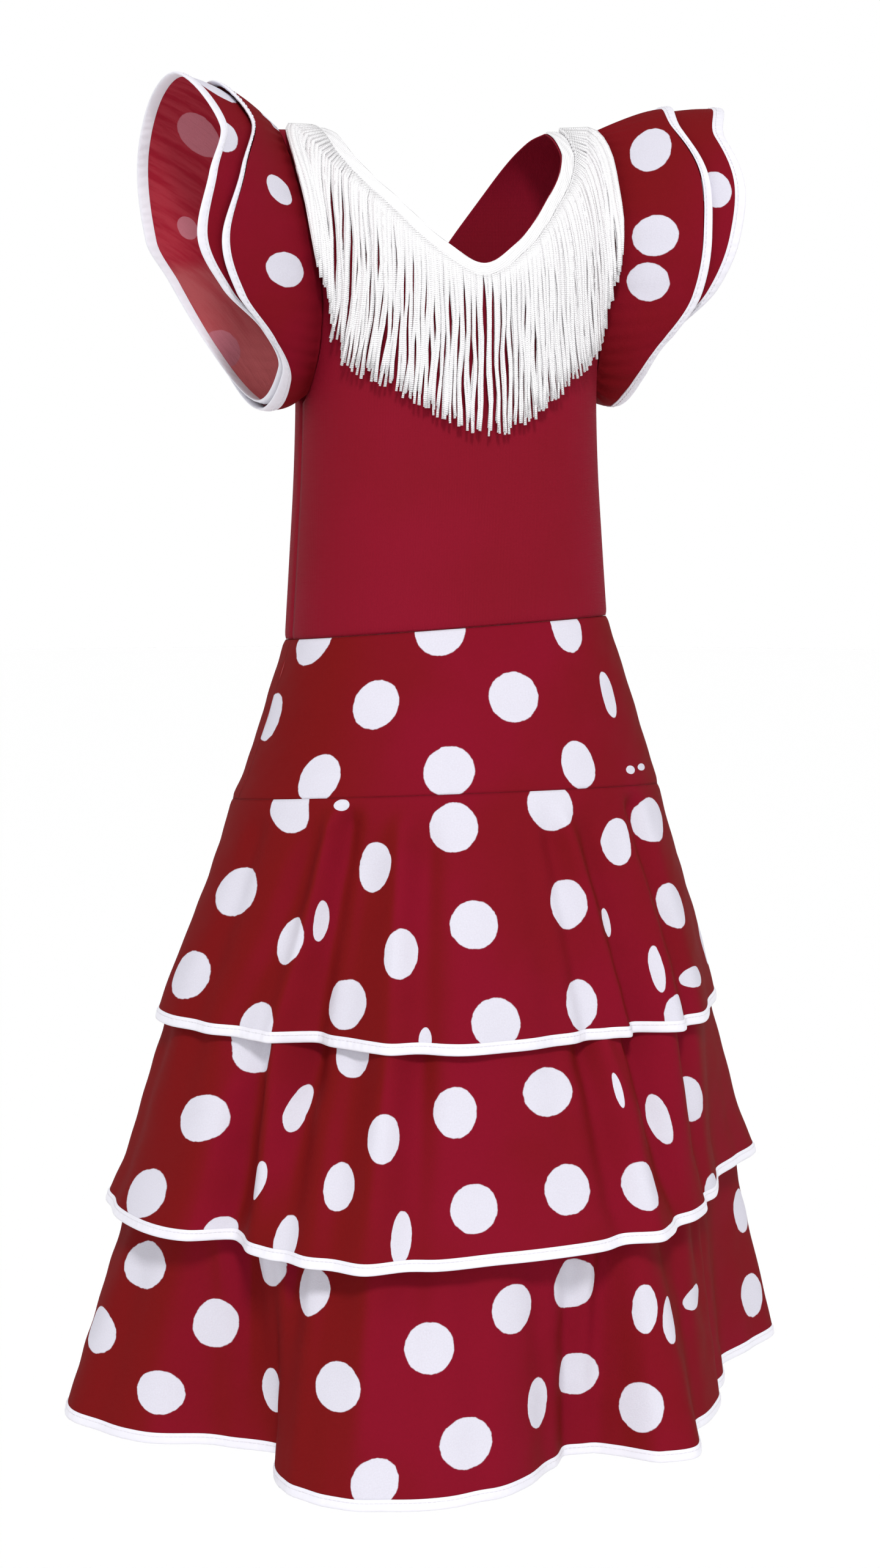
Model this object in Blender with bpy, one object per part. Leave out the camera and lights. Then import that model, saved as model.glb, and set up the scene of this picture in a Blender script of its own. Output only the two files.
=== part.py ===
"""Child's flamenco dress, filled out as worn and open at the neck, armholes and hem.

Sewn from a stretch bodice, a hip yoke, three flared tiers with bound hems, two flounces round
each armhole and a fringe along the front neckline. The front faces -Y. The origin lies midway
between the shoulder straps, level with their tops and on the skirt's axis. Every cloth is a
wall through sections or rings that are worked out from the sizes below.
"""
import math

import bmesh
import bpy
import numpy as np

# Sizes in metres
CLOTH = 0.0015                # wall of every cloth piece
BINDING_CLOTH = 0.0021        # wall of the folded edge binding
BINDING_WIDTH = 0.008
SEAM_GAP = 0.0003             # between two pieces that are sewn together
ARMHOLE_GAP = 0.0006          # from the armhole's edge out to the flounces' roots
HIP_DROP = 0.380              # along the cloth, from the shoulder seam to the hip seam
UNDERARM_DROP = 0.207         # along the cloth, from the shoulder seam to the underarm
HIP_TILT = 0.11               # how steeply the hip seam climbs towards the front
BODICE_POWER = 2.4            # how square the bodice's oval section is; 2 is an ellipse
COLUMNS = 72                  # points round a tier
YOKE_COLUMNS = 20             # spaces across half the yoke
FLOUNCE_COLUMNS = 30          # points round an armhole flounce
HEM_OVERLAP = 0.0045          # a tier hangs this far inside the hem above it
LAYER_GAP = 0.0005            # between the two flounces at their roots
FLOUNCE_SPREAD = 0.0035       # how far the short flounce lifts off the long one
FLOUNCE_ARCH = 0.005          # how far a flounce bows outwards half way along
FLOUNCE_CENTRE = -0.075       # height of the point that the flounces open round
STRANDS = 96
STRAND_LENGTH = 0.112
STRAND_WIDTH = 0.0013
STRAND_TAPER = 0.35           # how much narrower a strand is at its tip
DRAPE_EDGE = 0.93             # share of the way to the armhole that strands cling to the bodice
STRAND_LIFT = 0.0030          # how far the strands' tips stand off the bodice
STRAND_EASE = 0.5             # below 1, strands leave their roots' line soon rather than late
STRAND_LAYER = 0.0014         # from one layer of strands to the other
STRAND_FAN = 0.30             # how far the shoulders' strands lean out, by the panel's reach
STRAND_BENDS = (0.20, 0.105, 0.085, 0.045)   # a root above each of these drops adds a loop
LOOP_CROWDING = 1.4           # above 1, a strand's loops crowd towards its root
NECK_SAMPLES = 300            # fine points along half a neckline
TAPE_LIFT = 0.0007            # from the bodice to the fringe tape
TAPE_INSET = 0.0015           # from the neck's edge to the fringe tape
TAPE_WIDTH = 0.011
TAPE_CLOTH = 0.0012

# The bodice from the shoulder seam down: distance along the cloth, height, the oval's middle
# from front to back, half its width and depth, and how far out the panel reaches to the
# armhole or side
BODICE_SECTIONS = (
    # drop, height, middle, half_width, half_depth, edge
    (0.000, 0.0000, 0.020, 0.1185, 0.0001, 0.1165),
    (0.015, -0.0035, 0.019, 0.1185, 0.0195, 0.1160),
    (0.030, -0.0105, 0.017, 0.1180, 0.0375, 0.1150),
    (0.050, -0.0245, 0.013, 0.1170, 0.0565, 0.1120),
    (0.080, -0.0515, 0.007, 0.1145, 0.0740, 0.1070),
    (0.120, -0.0905, 0.001, 0.1110, 0.0840, 0.1025),
    (0.160, -0.1305, 0.000, 0.1075, 0.0860, 0.1005),
    (0.190, -0.1605, 0.000, 0.1058, 0.0850, 0.1025),
    (0.207, -0.1775, 0.000, 0.1050, 0.0845, 0.1050),
    (0.260, -0.2300, 0.000, 0.1065, 0.0850, 0.1065),
    (0.320, -0.2900, 0.000, 0.1100, 0.0880, 0.1100),
    (0.380, -0.3500, 0.000, 0.1140, 0.0900, 0.1140),
)
# The necklines: how far out the edge lies, and its distance down from the shoulder seam
FRONT_NECK = (
    # reach, drop
    (0.0000, 0.1205),
    (0.0235, 0.1075),
    (0.0515, 0.0780),
    (0.0755, 0.0410),
    (0.0800, 0.0000),
)
BACK_NECK = (
    # reach, drop
    (0.0000, 0.1465),
    (0.0290, 0.1040),
    (0.0560, 0.0620),
    (0.0710, 0.0300),
    (0.0800, 0.0000),
)
# Columns of a bodice panel, as angles from its centre to its side; one is at the neck point
PANEL_ANGLES = (0, 8, 16, 24, 31, 37, 41.5, 43.38, 52, 62, 72, 81, 90)
# Rows of a bodice panel, as shares of the way from the hip to the top; one is at the underarm
PANEL_ROWS = (0, 0.15, 0.30, 0.4553, 0.53, 0.61, 0.70, 0.79, 0.87, 0.94, 1)

# The yoke from the hip seam down
YOKE_RINGS = (
    # height, half_width, half_depth, power, tilt
    (-0.350, 0.1140, 0.0900, 2.40, 0.110),
    (-0.388, 0.1275, 0.1025, 2.30, 0.120),
    (-0.427, 0.1405, 0.1150, 2.20, 0.132),
    (-0.465, 0.1535, 0.1280, 2.15, 0.144),
)
# The tiers' rings below their top seam: height at the side, mean reach, share of the hem's
# folds, and tilt; the last ring is the edge of the binding
TIER_1_RINGS = (
    # height, reach, folds, tilt
    (-0.5015, 0.1525, 0.20, 0.120),
    (-0.5430, 0.1665, 0.50, 0.095),
    (-0.5800, 0.1790, 0.78, 0.070),
    (-0.6140, 0.1900, 1.00, 0.050),
)
TIER_2_RINGS = (
    # height, reach, folds, tilt
    (-0.6205, 0.1840, 0.12, 0.050),
    (-0.6650, 0.1910, 0.40, 0.040),
    (-0.7135, 0.2050, 0.72, 0.030),
    (-0.7515, 0.2255, 1.00, 0.020),
)
TIER_3_RINGS = (
    # height, reach, folds, tilt
    (-0.7580, 0.2045, 0.15, 0.020),
    (-0.7995, 0.2095, 0.45, 0.015),
    (-0.8485, 0.2215, 0.76, 0.010),
    (-0.8940, 0.2340, 1.00, 0.000),
)
# The folds along each hem, a row for every crest, valley and turn between them: the angle
# from the centre front towards +X, and the hem's reach there
TIER_1_HEM = (
    # degrees, reach
    (-90, 0.214), (-64, 0.196), (-49, 0.178), (-33, 0.189), (-16, 0.190), (-4, 0.180),
    (20, 0.165), (34, 0.168), (43, 0.191), (53, 0.193), (68, 0.186), (92, 0.206),
    (117, 0.186), (140, 0.207), (162, 0.188), (184, 0.207), (208, 0.188), (230, 0.208),
    (250, 0.196),
)
TIER_2_HEM = (
    # degrees, reach
    (-93, 0.252), (-78, 0.249), (-67, 0.239), (-61, 0.214), (-54, 0.221), (-47, 0.237),
    (-36, 0.241), (-22, 0.231), (-7, 0.216), (7, 0.213), (26, 0.215), (42, 0.207),
    (70, 0.191), (81, 0.214), (91, 0.247), (112, 0.214), (132, 0.248), (154, 0.214),
    (176, 0.249), (200, 0.215), (222, 0.248), (244, 0.224),
)
TIER_3_HEM = (
    # degrees, reach
    (-91, 0.278), (-76, 0.246), (-65, 0.204), (-54, 0.188), (-45, 0.243), (-36, 0.255),
    (-25, 0.252), (-11, 0.235), (-3, 0.214), (4, 0.192), (13, 0.171), (19, 0.190),
    (23, 0.219), (29, 0.231), (36, 0.215), (46, 0.204), (76, 0.200), (86, 0.234),
    (93, 0.265), (107, 0.247), (121, 0.211), (140, 0.263), (161, 0.216), (181, 0.265),
    (202, 0.211), (222, 0.263), (244, 0.226),
)
# The long flounce's rim, by its angle round the armhole from the top to the front: how far
# out it stands, its distance from the armhole's middle, and the short flounce's share
LEFT_RIM = (
    # degrees, out, from_middle, short_share
    (0, 0.193, 0.111, 0.66), (35, 0.174, 0.090, 0.70), (62, 0.202, 0.088, 0.82),
    (88, 0.210, 0.083, 0.88), (115, 0.187, 0.078, 0.93), (137, 0.156, 0.082, 0.94),
    (155, 0.141, 0.095, 0.94), (180, 0.143, 0.110, 0.92), (216, 0.169, 0.090, 0.88),
    (250, 0.190, 0.078, 0.82), (270, 0.197, 0.075, 0.76), (315, 0.204, 0.088, 0.68),
    (340, 0.200, 0.104, 0.65),
)
RIGHT_RIM = (
    # degrees, out, from_middle, short_share
    (0, 0.205, 0.094, 0.60), (35, 0.189, 0.086, 0.66), (62, 0.192, 0.086, 0.74),
    (88, 0.187, 0.083, 0.78), (115, 0.175, 0.080, 0.84), (137, 0.152, 0.083, 0.90),
    (155, 0.137, 0.095, 0.92), (180, 0.130, 0.110, 0.92), (216, 0.152, 0.091, 0.88),
    (250, 0.180, 0.079, 0.80), (270, 0.190, 0.077, 0.74), (315, 0.201, 0.088, 0.64),
    (340, 0.205, 0.094, 0.60),
)
FLOUNCE_ROWS = (0, 0.25, 0.5, 0.75, 1)

# Principled BSDF colour, roughness and metallic value
FINISHES = {
    "stretch_red": ((0.24, 0.008, 0.020), 0.62, 0.0),
    "dotted_red": ((0.23, 0.007, 0.017), 0.70, 0.0),
    "white_binding": ((0.78, 0.76, 0.82), 0.60, 0.0),
    "white_fringe": ((0.85, 0.84, 0.86), 0.55, 0.0),
}


def clear_scene():
    for thing in list(bpy.data.objects):
        bpy.data.objects.remove(thing, do_unlink=True)


def make_finish(name):
    colour, roughness, metallic = FINISHES[name]
    finish = bpy.data.materials.new(name)
    finish.use_nodes = True
    shader = finish.node_tree.nodes["Principled BSDF"]
    shader.inputs["Base Color"].default_value = (*colour, 1.0)
    shader.inputs["Roughness"].default_value = roughness
    shader.inputs["Metallic"].default_value = metallic
    return finish


def table_curve(knots, values, where, period=0.0):
    """Cubic through a table's rows that turns back only at its highest and lowest rows."""
    knots = np.asarray(knots, float)
    values = np.asarray(values, float)
    where = np.asarray(where, float)
    if period:
        first = knots[0]
        knots = np.concatenate((knots[-2:] - period, knots, knots[:2] + period))
        values = np.concatenate((values[-2:], values, values[:2]))
        where = first + (where - first) % period
    step = np.diff(knots)
    slope = np.diff(values) / step
    tangent = np.concatenate((slope[:1], np.zeros(len(knots) - 2), slope[-1:]))
    rising = slope[:-1] * slope[1:] > 0
    total = np.where(rising, slope[:-1] + slope[1:], 1.0)
    tangent[1:-1] = np.where(rising, 2 * slope[:-1] * slope[1:] / total, 0.0)
    row = np.clip(np.searchsorted(knots, where, side="right") - 1, 0, len(step) - 1)
    share = (where - knots[row]) / step[row]
    start = values[row] + share * step[row] * tangent[row] * (1 - share) ** 2
    bend = (values[row + 1] - values[row]) * share ** 2 * (3 - 2 * share)
    end = step[row] * tangent[row + 1] * share ** 2 * (share - 1)
    return start + bend + end


def unit(vectors):
    return vectors / np.linalg.norm(vectors, axis=-1, keepdims=True)


def surface_normals(points, closed):
    """Normals of a grid of points, rows by columns, from the steps to each point's neighbours."""
    down = np.gradient(points, axis=0)
    if closed:
        along = np.roll(points, -1, axis=1) - np.roll(points, 1, axis=1)
    else:
        along = np.gradient(points, axis=1)
    return unit(np.cross(along, down))


def wall_object(name, finish, outer, inner, closed):
    """A closed wall between two grids of points, joined all round their edges."""
    rows, columns = outer.shape[:2]
    count = rows * columns
    spaces = columns if closed else columns - 1
    faces = []
    for row in range(rows - 1):
        for column in range(spaces):
            after = (column + 1) % columns
            corners = (row * columns + column, row * columns + after,
                       (row + 1) * columns + after, (row + 1) * columns + column)
            faces.append(corners)
            faces.append(tuple(corner + count for corner in reversed(corners)))
    edges = [(row * columns + column, row * columns + (column + 1) % columns)
             for row in (0, rows - 1) for column in range(spaces)]
    if not closed:
        edges += [(row * columns + column, (row + 1) * columns + column)
                  for column in (0, columns - 1) for row in range(rows - 1)]
    faces += [(start, end, end + count, start + count) for start, end in edges]
    points = np.concatenate((outer.reshape(-1, 3), inner.reshape(-1, 3)))
    return mesh_object(name, finish, points, faces)


def mesh_object(name, finish, points, faces):
    mesh = bpy.data.meshes.new(name)
    mesh.from_pydata(points.tolist(), [], faces)
    form = bmesh.new()
    form.from_mesh(mesh)
    bmesh.ops.recalc_face_normals(form, faces=form.faces)
    form.to_mesh(mesh)
    form.free()
    mesh.shade_smooth()
    mesh.set_sharp_from_angle(angle=math.radians(40))
    mesh.materials.append(finish)
    thing = bpy.data.objects.new(name, mesh)
    bpy.data.collections["flamenco_dress"].objects.link(thing)
    return thing


# ---- bodice ----

def bodice_size(column, drop):
    rows = np.array(BODICE_SECTIONS)
    names = ("drop", "height", "middle", "half_width", "half_depth", "edge")
    return table_curve(rows[:, 0], rows[:, names.index(column)], drop)


def bodice_points(reach, drop, side):
    """Points of the bodice's outer face at x = reach; side is -1 for the front, 1 for the back."""
    half_width = bodice_size("half_width", drop)
    half_depth = bodice_size("half_depth", drop)
    share = np.clip(np.abs(reach) / half_width, 0, 1)
    depth = half_depth * (1 - share ** BODICE_POWER) ** (1 / BODICE_POWER)
    depth = np.maximum(depth, SEAM_GAP / 2)
    low = np.clip((drop - UNDERARM_DROP) / (HIP_DROP - UNDERARM_DROP), 0, 1)
    height = bodice_size("height", drop) - HIP_TILT * side * depth * low
    return np.stack((reach + 0 * depth, bodice_size("middle", drop) + side * depth, height),
                    axis=-1)


def neck_curve(neck):
    """The neckline from the centre to the shoulder seam: finely spaced reaches and drops."""
    rows = np.array(neck)
    mirrored = np.concatenate((rows[1:2] * (-1, 1), rows))
    reach = np.linspace(0, rows[-1, 0], NECK_SAMPLES)
    return reach, table_curve(mirrored[:, 0], mirrored[:, 1], reach)


def neck_drop(neck, share):
    """Where a panel's column, at a share of the way out to its edge, meets the neckline."""
    reach, drop = neck_curve(neck)
    return np.interp(share, reach / bodice_size("edge", drop), drop, right=0.0)


def bodice_panel(name, finish, neck, side):
    angles = np.radians(PANEL_ANGLES)
    shares = np.sin(np.concatenate((-angles[:0:-1], angles)))
    top = neck_drop(neck, np.abs(shares))
    upwards = np.array(PANEL_ROWS)[:, None]
    drop = HIP_DROP + (top - HIP_DROP) * upwards
    outer = bodice_points(shares * bodice_size("edge", drop), drop, side)
    outer[0, :, 2] += SEAM_GAP / 2
    normals = surface_normals(outer, closed=False) * -side
    normals[0, :, 2] = 0
    sewn = np.abs(outer[..., 1] - bodice_size("middle", drop)) < SEAM_GAP
    shoulder = sewn & (drop < SEAM_GAP)
    normals[sewn] *= (1, 0, 0)
    normals[shoulder] = (0, 0, 1)
    inner = outer - CLOTH * unit(normals)
    wall_object(name, finish, outer, inner, closed=False)


# ---- yoke and tiers ----

def ring_points(turn, reach, height, tilt):
    """A ring round the skirt; tilt lifts it towards the front."""
    depth = -reach * np.cos(turn)
    return np.stack((reach * np.sin(turn), depth, height - tilt * depth), axis=-1)


def oval_reach(turn, half_width, half_depth, power):
    across = (np.abs(np.sin(turn)) / half_width) ** power
    along = (np.abs(np.cos(turn)) / half_depth) ** power
    return (across + along) ** (-1 / power)


def ring_inset(rings, distance):
    """Rings moved level towards the skirt's inside, square to each ring."""
    along = np.roll(rings, -1, axis=-2) - np.roll(rings, 1, axis=-2)
    inwards = np.stack((-along[..., 1], along[..., 0], 0 * along[..., 0]), axis=-1)
    return rings + distance * unit(inwards)


def yoke_panels(finish):
    for name, middle in (("yoke_front", 0.0), ("yoke_back", math.pi)):
        turn = middle + np.linspace(-math.pi / 2, math.pi / 2, YOKE_COLUMNS + 1)
        walls = []
        for inset in (0, CLOTH):
            rings = [ring_points(turn, oval_reach(turn, wide - inset, deep - inset, power),
                                 height, tilt)
                     for height, wide, deep, power, tilt in YOKE_RINGS]
            wall = np.stack(rings)
            wall[0, :, 2] -= SEAM_GAP / 2
            wall[-1, :, 2] += SEAM_GAP / 2
            wall[:, (0, -1), 1] = -math.cos(middle) * SEAM_GAP / 2
            walls.append(wall)
        wall_object(name, finish, walls[0], walls[1], closed=False)


def tier_rings(top, table, hem):
    """A tier's rings from its top seam to its bound edge: each has its share of the hem's folds,
    and the rest of its shape from the seam above."""
    turn = np.linspace(0, 2 * math.pi, COLUMNS, endpoint=False)
    rows = np.array(hem)
    folds = table_curve(rows[:, 0], rows[:, 1], np.degrees(turn), period=360.0)
    folds -= folds.mean()
    top_reach = np.hypot(top[:, 0], top[:, 1])
    rings = [top]
    for height, reach, share, tilt in table:
        shape = reach + folds * share + (top_reach - top_reach.mean()) * (1 - share)
        rings.append(ring_points(turn, shape, height, tilt))
    return np.stack(rings)


def tuck_under(rings, hem_above):
    """Keeps a tier's second ring inside the hem that hangs over it."""
    reach = np.hypot(rings[1, :, 0], rings[1, :, 1])
    limit = np.hypot(hem_above[:, 0], hem_above[:, 1]) - HEM_OVERLAP
    rings[1, :, :2] *= np.minimum(1, limit / reach)[:, None]
    return rings


def tier_wall(name, rings, cloth_finish, binding_finish):
    """The tier's cloth down to its binding, and the binding on below it."""
    last = rings[-1] - rings[-2]
    length = np.linalg.norm(last, axis=-1, keepdims=True)
    cloth_end = rings[-1] - last / length * BINDING_WIDTH
    cloth = np.concatenate((rings[:-1], cloth_end[None]))
    wall_object(name, cloth_finish, cloth, ring_inset(cloth, CLOTH), closed=True)
    binding_top = cloth_end + last / length * SEAM_GAP
    fold = (BINDING_CLOTH - CLOTH) / 2
    binding = ring_inset(np.stack((binding_top, rings[-1])), -fold)
    wall_object(name + "_binding", binding_finish, binding, ring_inset(binding, BINDING_CLOTH),
                closed=True)


def skirt_tiers(cloth_finish, binding_finish):
    turn = np.linspace(0, 2 * math.pi, COLUMNS, endpoint=False)
    height, half_width, half_depth, power, tilt = YOKE_RINGS[-1]
    top = ring_points(turn, oval_reach(turn, half_width, half_depth, power), height, tilt)
    top[:, 2] -= SEAM_GAP / 2
    tiers = (("tier_1", TIER_1_RINGS, TIER_1_HEM), ("tier_2", TIER_2_RINGS, TIER_2_HEM),
             ("tier_3", TIER_3_RINGS, TIER_3_HEM))
    hem_above = None
    for name, table, hem in tiers:
        rings = tier_rings(top, table, hem)
        if hem_above is not None:
            rings = tuck_under(rings, hem_above)
        tier_wall(name, rings, cloth_finish, binding_finish)
        hem_above = rings[-1]
        top = ring_inset(rings[-2], CLOTH + SEAM_GAP)


# ---- armhole flounces ----

def armhole_points(angle, hand):
    """The armhole's edge, by the angle from the shoulder towards the front; hand is -1 or 1."""
    drop = UNDERARM_DROP * (1 - np.cos(angle)) / 2
    side = np.where(np.sin(angle) > 0, -1.0, 1.0)
    points = bodice_points(bodice_size("edge", drop), drop, side)
    points[..., 0] = hand * (points[..., 0] + ARMHOLE_GAP)
    return points


def flounce_points(angle, share, rim, hand):
    """The long flounce's outer face: from the armhole straight out to the rim, a little bowed."""
    rows = np.array(rim)
    degrees = np.degrees(angle)
    out = table_curve(rows[:, 0], rows[:, 1], degrees, period=360.0)
    spread = table_curve(rows[:, 0], rows[:, 2], degrees, period=360.0)
    round_armhole = np.stack((0 * angle, -np.sin(angle), np.cos(angle)), axis=-1)
    edge = round_armhole * spread[..., None]
    edge += np.stack((hand * out, 0 * out, FLOUNCE_CENTRE + 0 * out), axis=-1)
    root = armhole_points(angle, hand)
    bow = FLOUNCE_ARCH * np.sin(math.pi * share)
    return root + (edge - root) * share[..., None] + round_armhole * bow[..., None]


def flounce_walls(side_name, rim, hand, cloth_finish, binding_finish):
    rows = np.array(rim)
    angle = np.linspace(0, 2 * math.pi, FLOUNCE_COLUMNS, endpoint=False)
    length = np.linalg.norm(flounce_points(angle, np.ones_like(angle), rim, hand)
                            - armhole_points(angle, hand), axis=-1)
    short = table_curve(rows[:, 0], rows[:, 3], np.degrees(angle), period=360.0)
    for layer, reach, lift in (("long", np.ones_like(short), 0.0), ("short", short, 1.0)):
        cloth_reach = reach - BINDING_WIDTH / length
        steps = np.array(FLOUNCE_ROWS)[:, None]
        ends = np.stack((cloth_reach + SEAM_GAP / length, reach))
        share = np.concatenate((steps * cloth_reach, ends))
        grid = flounce_points(angle + 0 * share, share, rim, hand)
        normals = surface_normals(grid, closed=True) * hand
        normals[0, :, 0] = 0
        normals[-2] = normals[-3]
        normals = unit(normals)
        gap = LAYER_GAP + CLOTH + FLOUNCE_SPREAD * share
        grid = grid + normals * (lift * gap)[..., None]
        cloth = grid[:len(FLOUNCE_ROWS)]
        cloth_normals = normals[:len(FLOUNCE_ROWS)]
        wall_object(f"sleeve_{side_name}_{layer}", cloth_finish, cloth,
                    cloth - CLOTH * cloth_normals, closed=True)
        fold = (BINDING_CLOTH - CLOTH) / 2
        edge = grid[-2:] + fold * normals[-2:]
        wall_object(f"sleeve_{side_name}_{layer}_binding", binding_finish, edge,
                    edge - BINDING_CLOTH * normals[-2:], closed=True)


# ---- fringe ----

def strand_tips(line):
    """How far out the strands from a line of roots end, as shares of the panel's edge: they
    fan out over the shoulders."""
    high = np.clip(1 - line[:, 1] / FRONT_NECK[0][1], 0, 1)
    root = line[:, 0] / bodice_size("edge", line[:, 1])
    return root + np.sign(line[:, 0]) * STRAND_FAN * high


def tape_edges(count):
    """The tape's upper and lower edge laid flat, x against distance down the cloth, with its
    points where the strands' tips come out evenly."""
    half = np.stack(neck_curve(FRONT_NECK), axis=-1)
    line = np.concatenate((half[:0:-1] * (-1, 1), half))
    along = unit(np.gradient(line, axis=0))
    outwards = np.stack((-along[:, 1], along[:, 0]), axis=-1)
    edges = np.stack((line + outwards * TAPE_INSET, line + outwards * (TAPE_INSET + TAPE_WIDTH)))
    edges[..., 1] = np.maximum(edges[..., 1], 2 * SEAM_GAP)
    tips = strand_tips(edges[1])
    places = np.interp(np.linspace(tips[0], tips[-1], count), tips, np.arange(len(tips)))
    sampled = [[np.interp(places, np.arange(len(tips)), edge[:, axis]) for axis in (0, 1)]
               for edge in edges]
    return np.swapaxes(np.array(sampled), 1, 2)


def laid_on_bodice(flat, lift):
    """Points laid flat, put on the front of the bodice and moved out from it. Near the
    armhole they go straight on outwards, over the flounces' roots."""
    step = 0.0005
    drop = np.maximum(flat[..., 1], step)
    limit = DRAPE_EDGE * bodice_size("edge", drop)
    reach = np.clip(flat[..., 0], -limit, limit)
    beyond = flat[..., 0] - reach
    here = bodice_points(reach, drop, -1)
    across = bodice_points(reach + step, drop, -1) - here
    down = bodice_points(reach, drop + step, -1) - here
    here[..., 0] += beyond
    across[..., 0] += np.abs(beyond)
    return here + unit(np.cross(down, across)) * lift[..., None]


def fringe(name, finish):
    """A tape along the neckline whose lower edge runs out into strands, one in every two spaces."""
    count = 2 * STRANDS + 2
    rows = tape_edges(count)
    lifts = np.full(rows.shape[:2], TAPE_LIFT)
    inner = laid_on_bodice(rows, lifts)
    outer = laid_on_bodice(rows, lifts + TAPE_CLOTH)
    points = [outer.reshape(-1, 3), inner.reshape(-1, 3)]
    faces = []
    back = 2 * count
    for column in range(count - 1):
        top, low = column, count + column
        faces.append((top, top + 1, low + 1, low))
        faces.append((back + low, back + low + 1, back + top + 1, back + top))
        faces.append((top, back + top, back + top + 1, top + 1))
        if column % 2 == 0:
            faces.append((low, low + 1, back + low + 1, back + low))
    for end in (0, count - 1):
        faces.append((end, count + end, back + count + end, back + end))
    total = 4 * count
    for column in range(1, count - 1, 2):
        root = (count + column, count + column + 1,
                back + count + column + 1, back + count + column)
        layer = column // 2 % 2
        strand, strand_faces = strand_form(rows[1, column:column + 2], root, total, layer)
        points.append(strand)
        faces += strand_faces
        total += len(strand)
    return mesh_object(name, finish, np.concatenate(points), faces)


def strand_form(root_line, root, start, layer):
    """A strand from two points of the tape's lower edge, with a loop of four points at each
    length below them; it needs more of them where the cloth bends over the shoulder. Every
    second strand hangs in a layer of its own, farther out."""
    middle = root_line.mean(axis=0)
    across = middle[0] / bodice_size("edge", middle[1:])[0]
    fan = strand_tips(middle[None])[0] - across
    bends = sum(middle[1] < drop for drop in STRAND_BENDS)
    lengths = (np.arange(1, bends + 2) / (bends + 1)) ** LOOP_CROWDING
    points = []
    for share in lengths:
        drop = middle[1] + STRAND_LENGTH * share
        eased = share ** STRAND_EASE
        reach = bodice_size("edge", np.array([drop]))[0] * (across + fan * eased)
        lift = np.full(2, TAPE_LIFT + STRAND_LIFT * eased + STRAND_LAYER * layer)
        half = STRAND_WIDTH / 2 * (1 - STRAND_TAPER * share)
        flat = np.array([(reach - half, drop), (reach + half, drop)])
        front = laid_on_bodice(flat, lift + TAPE_CLOTH)
        back = laid_on_bodice(flat, lift)
        points += [front[0], front[1], back[1], back[0]]
    faces = []
    loops = [root] + [tuple(range(start + 4 * k, start + 4 * k + 4)) for k in range(len(lengths))]
    for upper, lower in zip(loops[:-1], loops[1:]):
        faces += [(upper[k], upper[(k + 1) % 4], lower[(k + 1) % 4], lower[k]) for k in range(4)]
    faces.append(loops[-1])
    return np.array(points), faces


def build_dress():
    clear_scene()
    group = bpy.data.collections.new("flamenco_dress")
    bpy.context.scene.collection.children.link(group)
    finishes = {name: make_finish(name) for name in FINISHES}
    stretch, dotted = finishes["stretch_red"], finishes["dotted_red"]
    binding = finishes["white_binding"]
    bodice_panel("bodice_front", stretch, FRONT_NECK, -1)
    bodice_panel("bodice_back", stretch, BACK_NECK, 1)
    yoke_panels(dotted)
    skirt_tiers(dotted, binding)
    flounce_walls("left", LEFT_RIM, -1, dotted, binding)
    flounce_walls("right", RIGHT_RIM, 1, dotted, binding)
    fringe("neck_fringe", finishes["white_fringe"])


build_dress()
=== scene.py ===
import math
import bpy
import numpy as np
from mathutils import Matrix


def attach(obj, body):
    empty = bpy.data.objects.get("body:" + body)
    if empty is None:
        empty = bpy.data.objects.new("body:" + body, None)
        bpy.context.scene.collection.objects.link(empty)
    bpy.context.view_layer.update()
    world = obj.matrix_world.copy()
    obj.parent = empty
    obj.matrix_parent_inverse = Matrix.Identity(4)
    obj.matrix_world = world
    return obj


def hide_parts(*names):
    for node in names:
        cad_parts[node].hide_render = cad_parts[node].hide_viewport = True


# Looks of a child's flamenco dress. The front faces -Y, sizes are in metres, and every cloth
# follows the outer face of the fixed frame's solid.

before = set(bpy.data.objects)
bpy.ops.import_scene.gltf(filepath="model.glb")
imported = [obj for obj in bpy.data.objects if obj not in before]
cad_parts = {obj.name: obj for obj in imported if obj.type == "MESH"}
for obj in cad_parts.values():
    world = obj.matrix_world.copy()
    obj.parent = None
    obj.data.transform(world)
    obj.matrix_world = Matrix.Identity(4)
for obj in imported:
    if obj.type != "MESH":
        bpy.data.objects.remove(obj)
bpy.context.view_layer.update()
print("frame loaded:", len(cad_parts), "nodes")

cloth = {
    "wall": 0.0015,              # the frame's walls
    "thickness": 0.0009,         # the visible cloth's
    "seamGap": 0.0003,
    "bindingWidth": 0.0080,
    "bindingThickness": 0.0021,
    "bindingGrip": 0.0015,       # how far the cloth's edge goes up into its binding
    "seamDip": 0.0008,           # how far a seam draws the cloth in
    "seamReach": 0.0022,
    "dotRadius": 0.0172,
    "dotSpacing": 0.0665,
    "dotClearance": 0.8,         # no lattice dot nearer a charted one, in spacings
}


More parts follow.
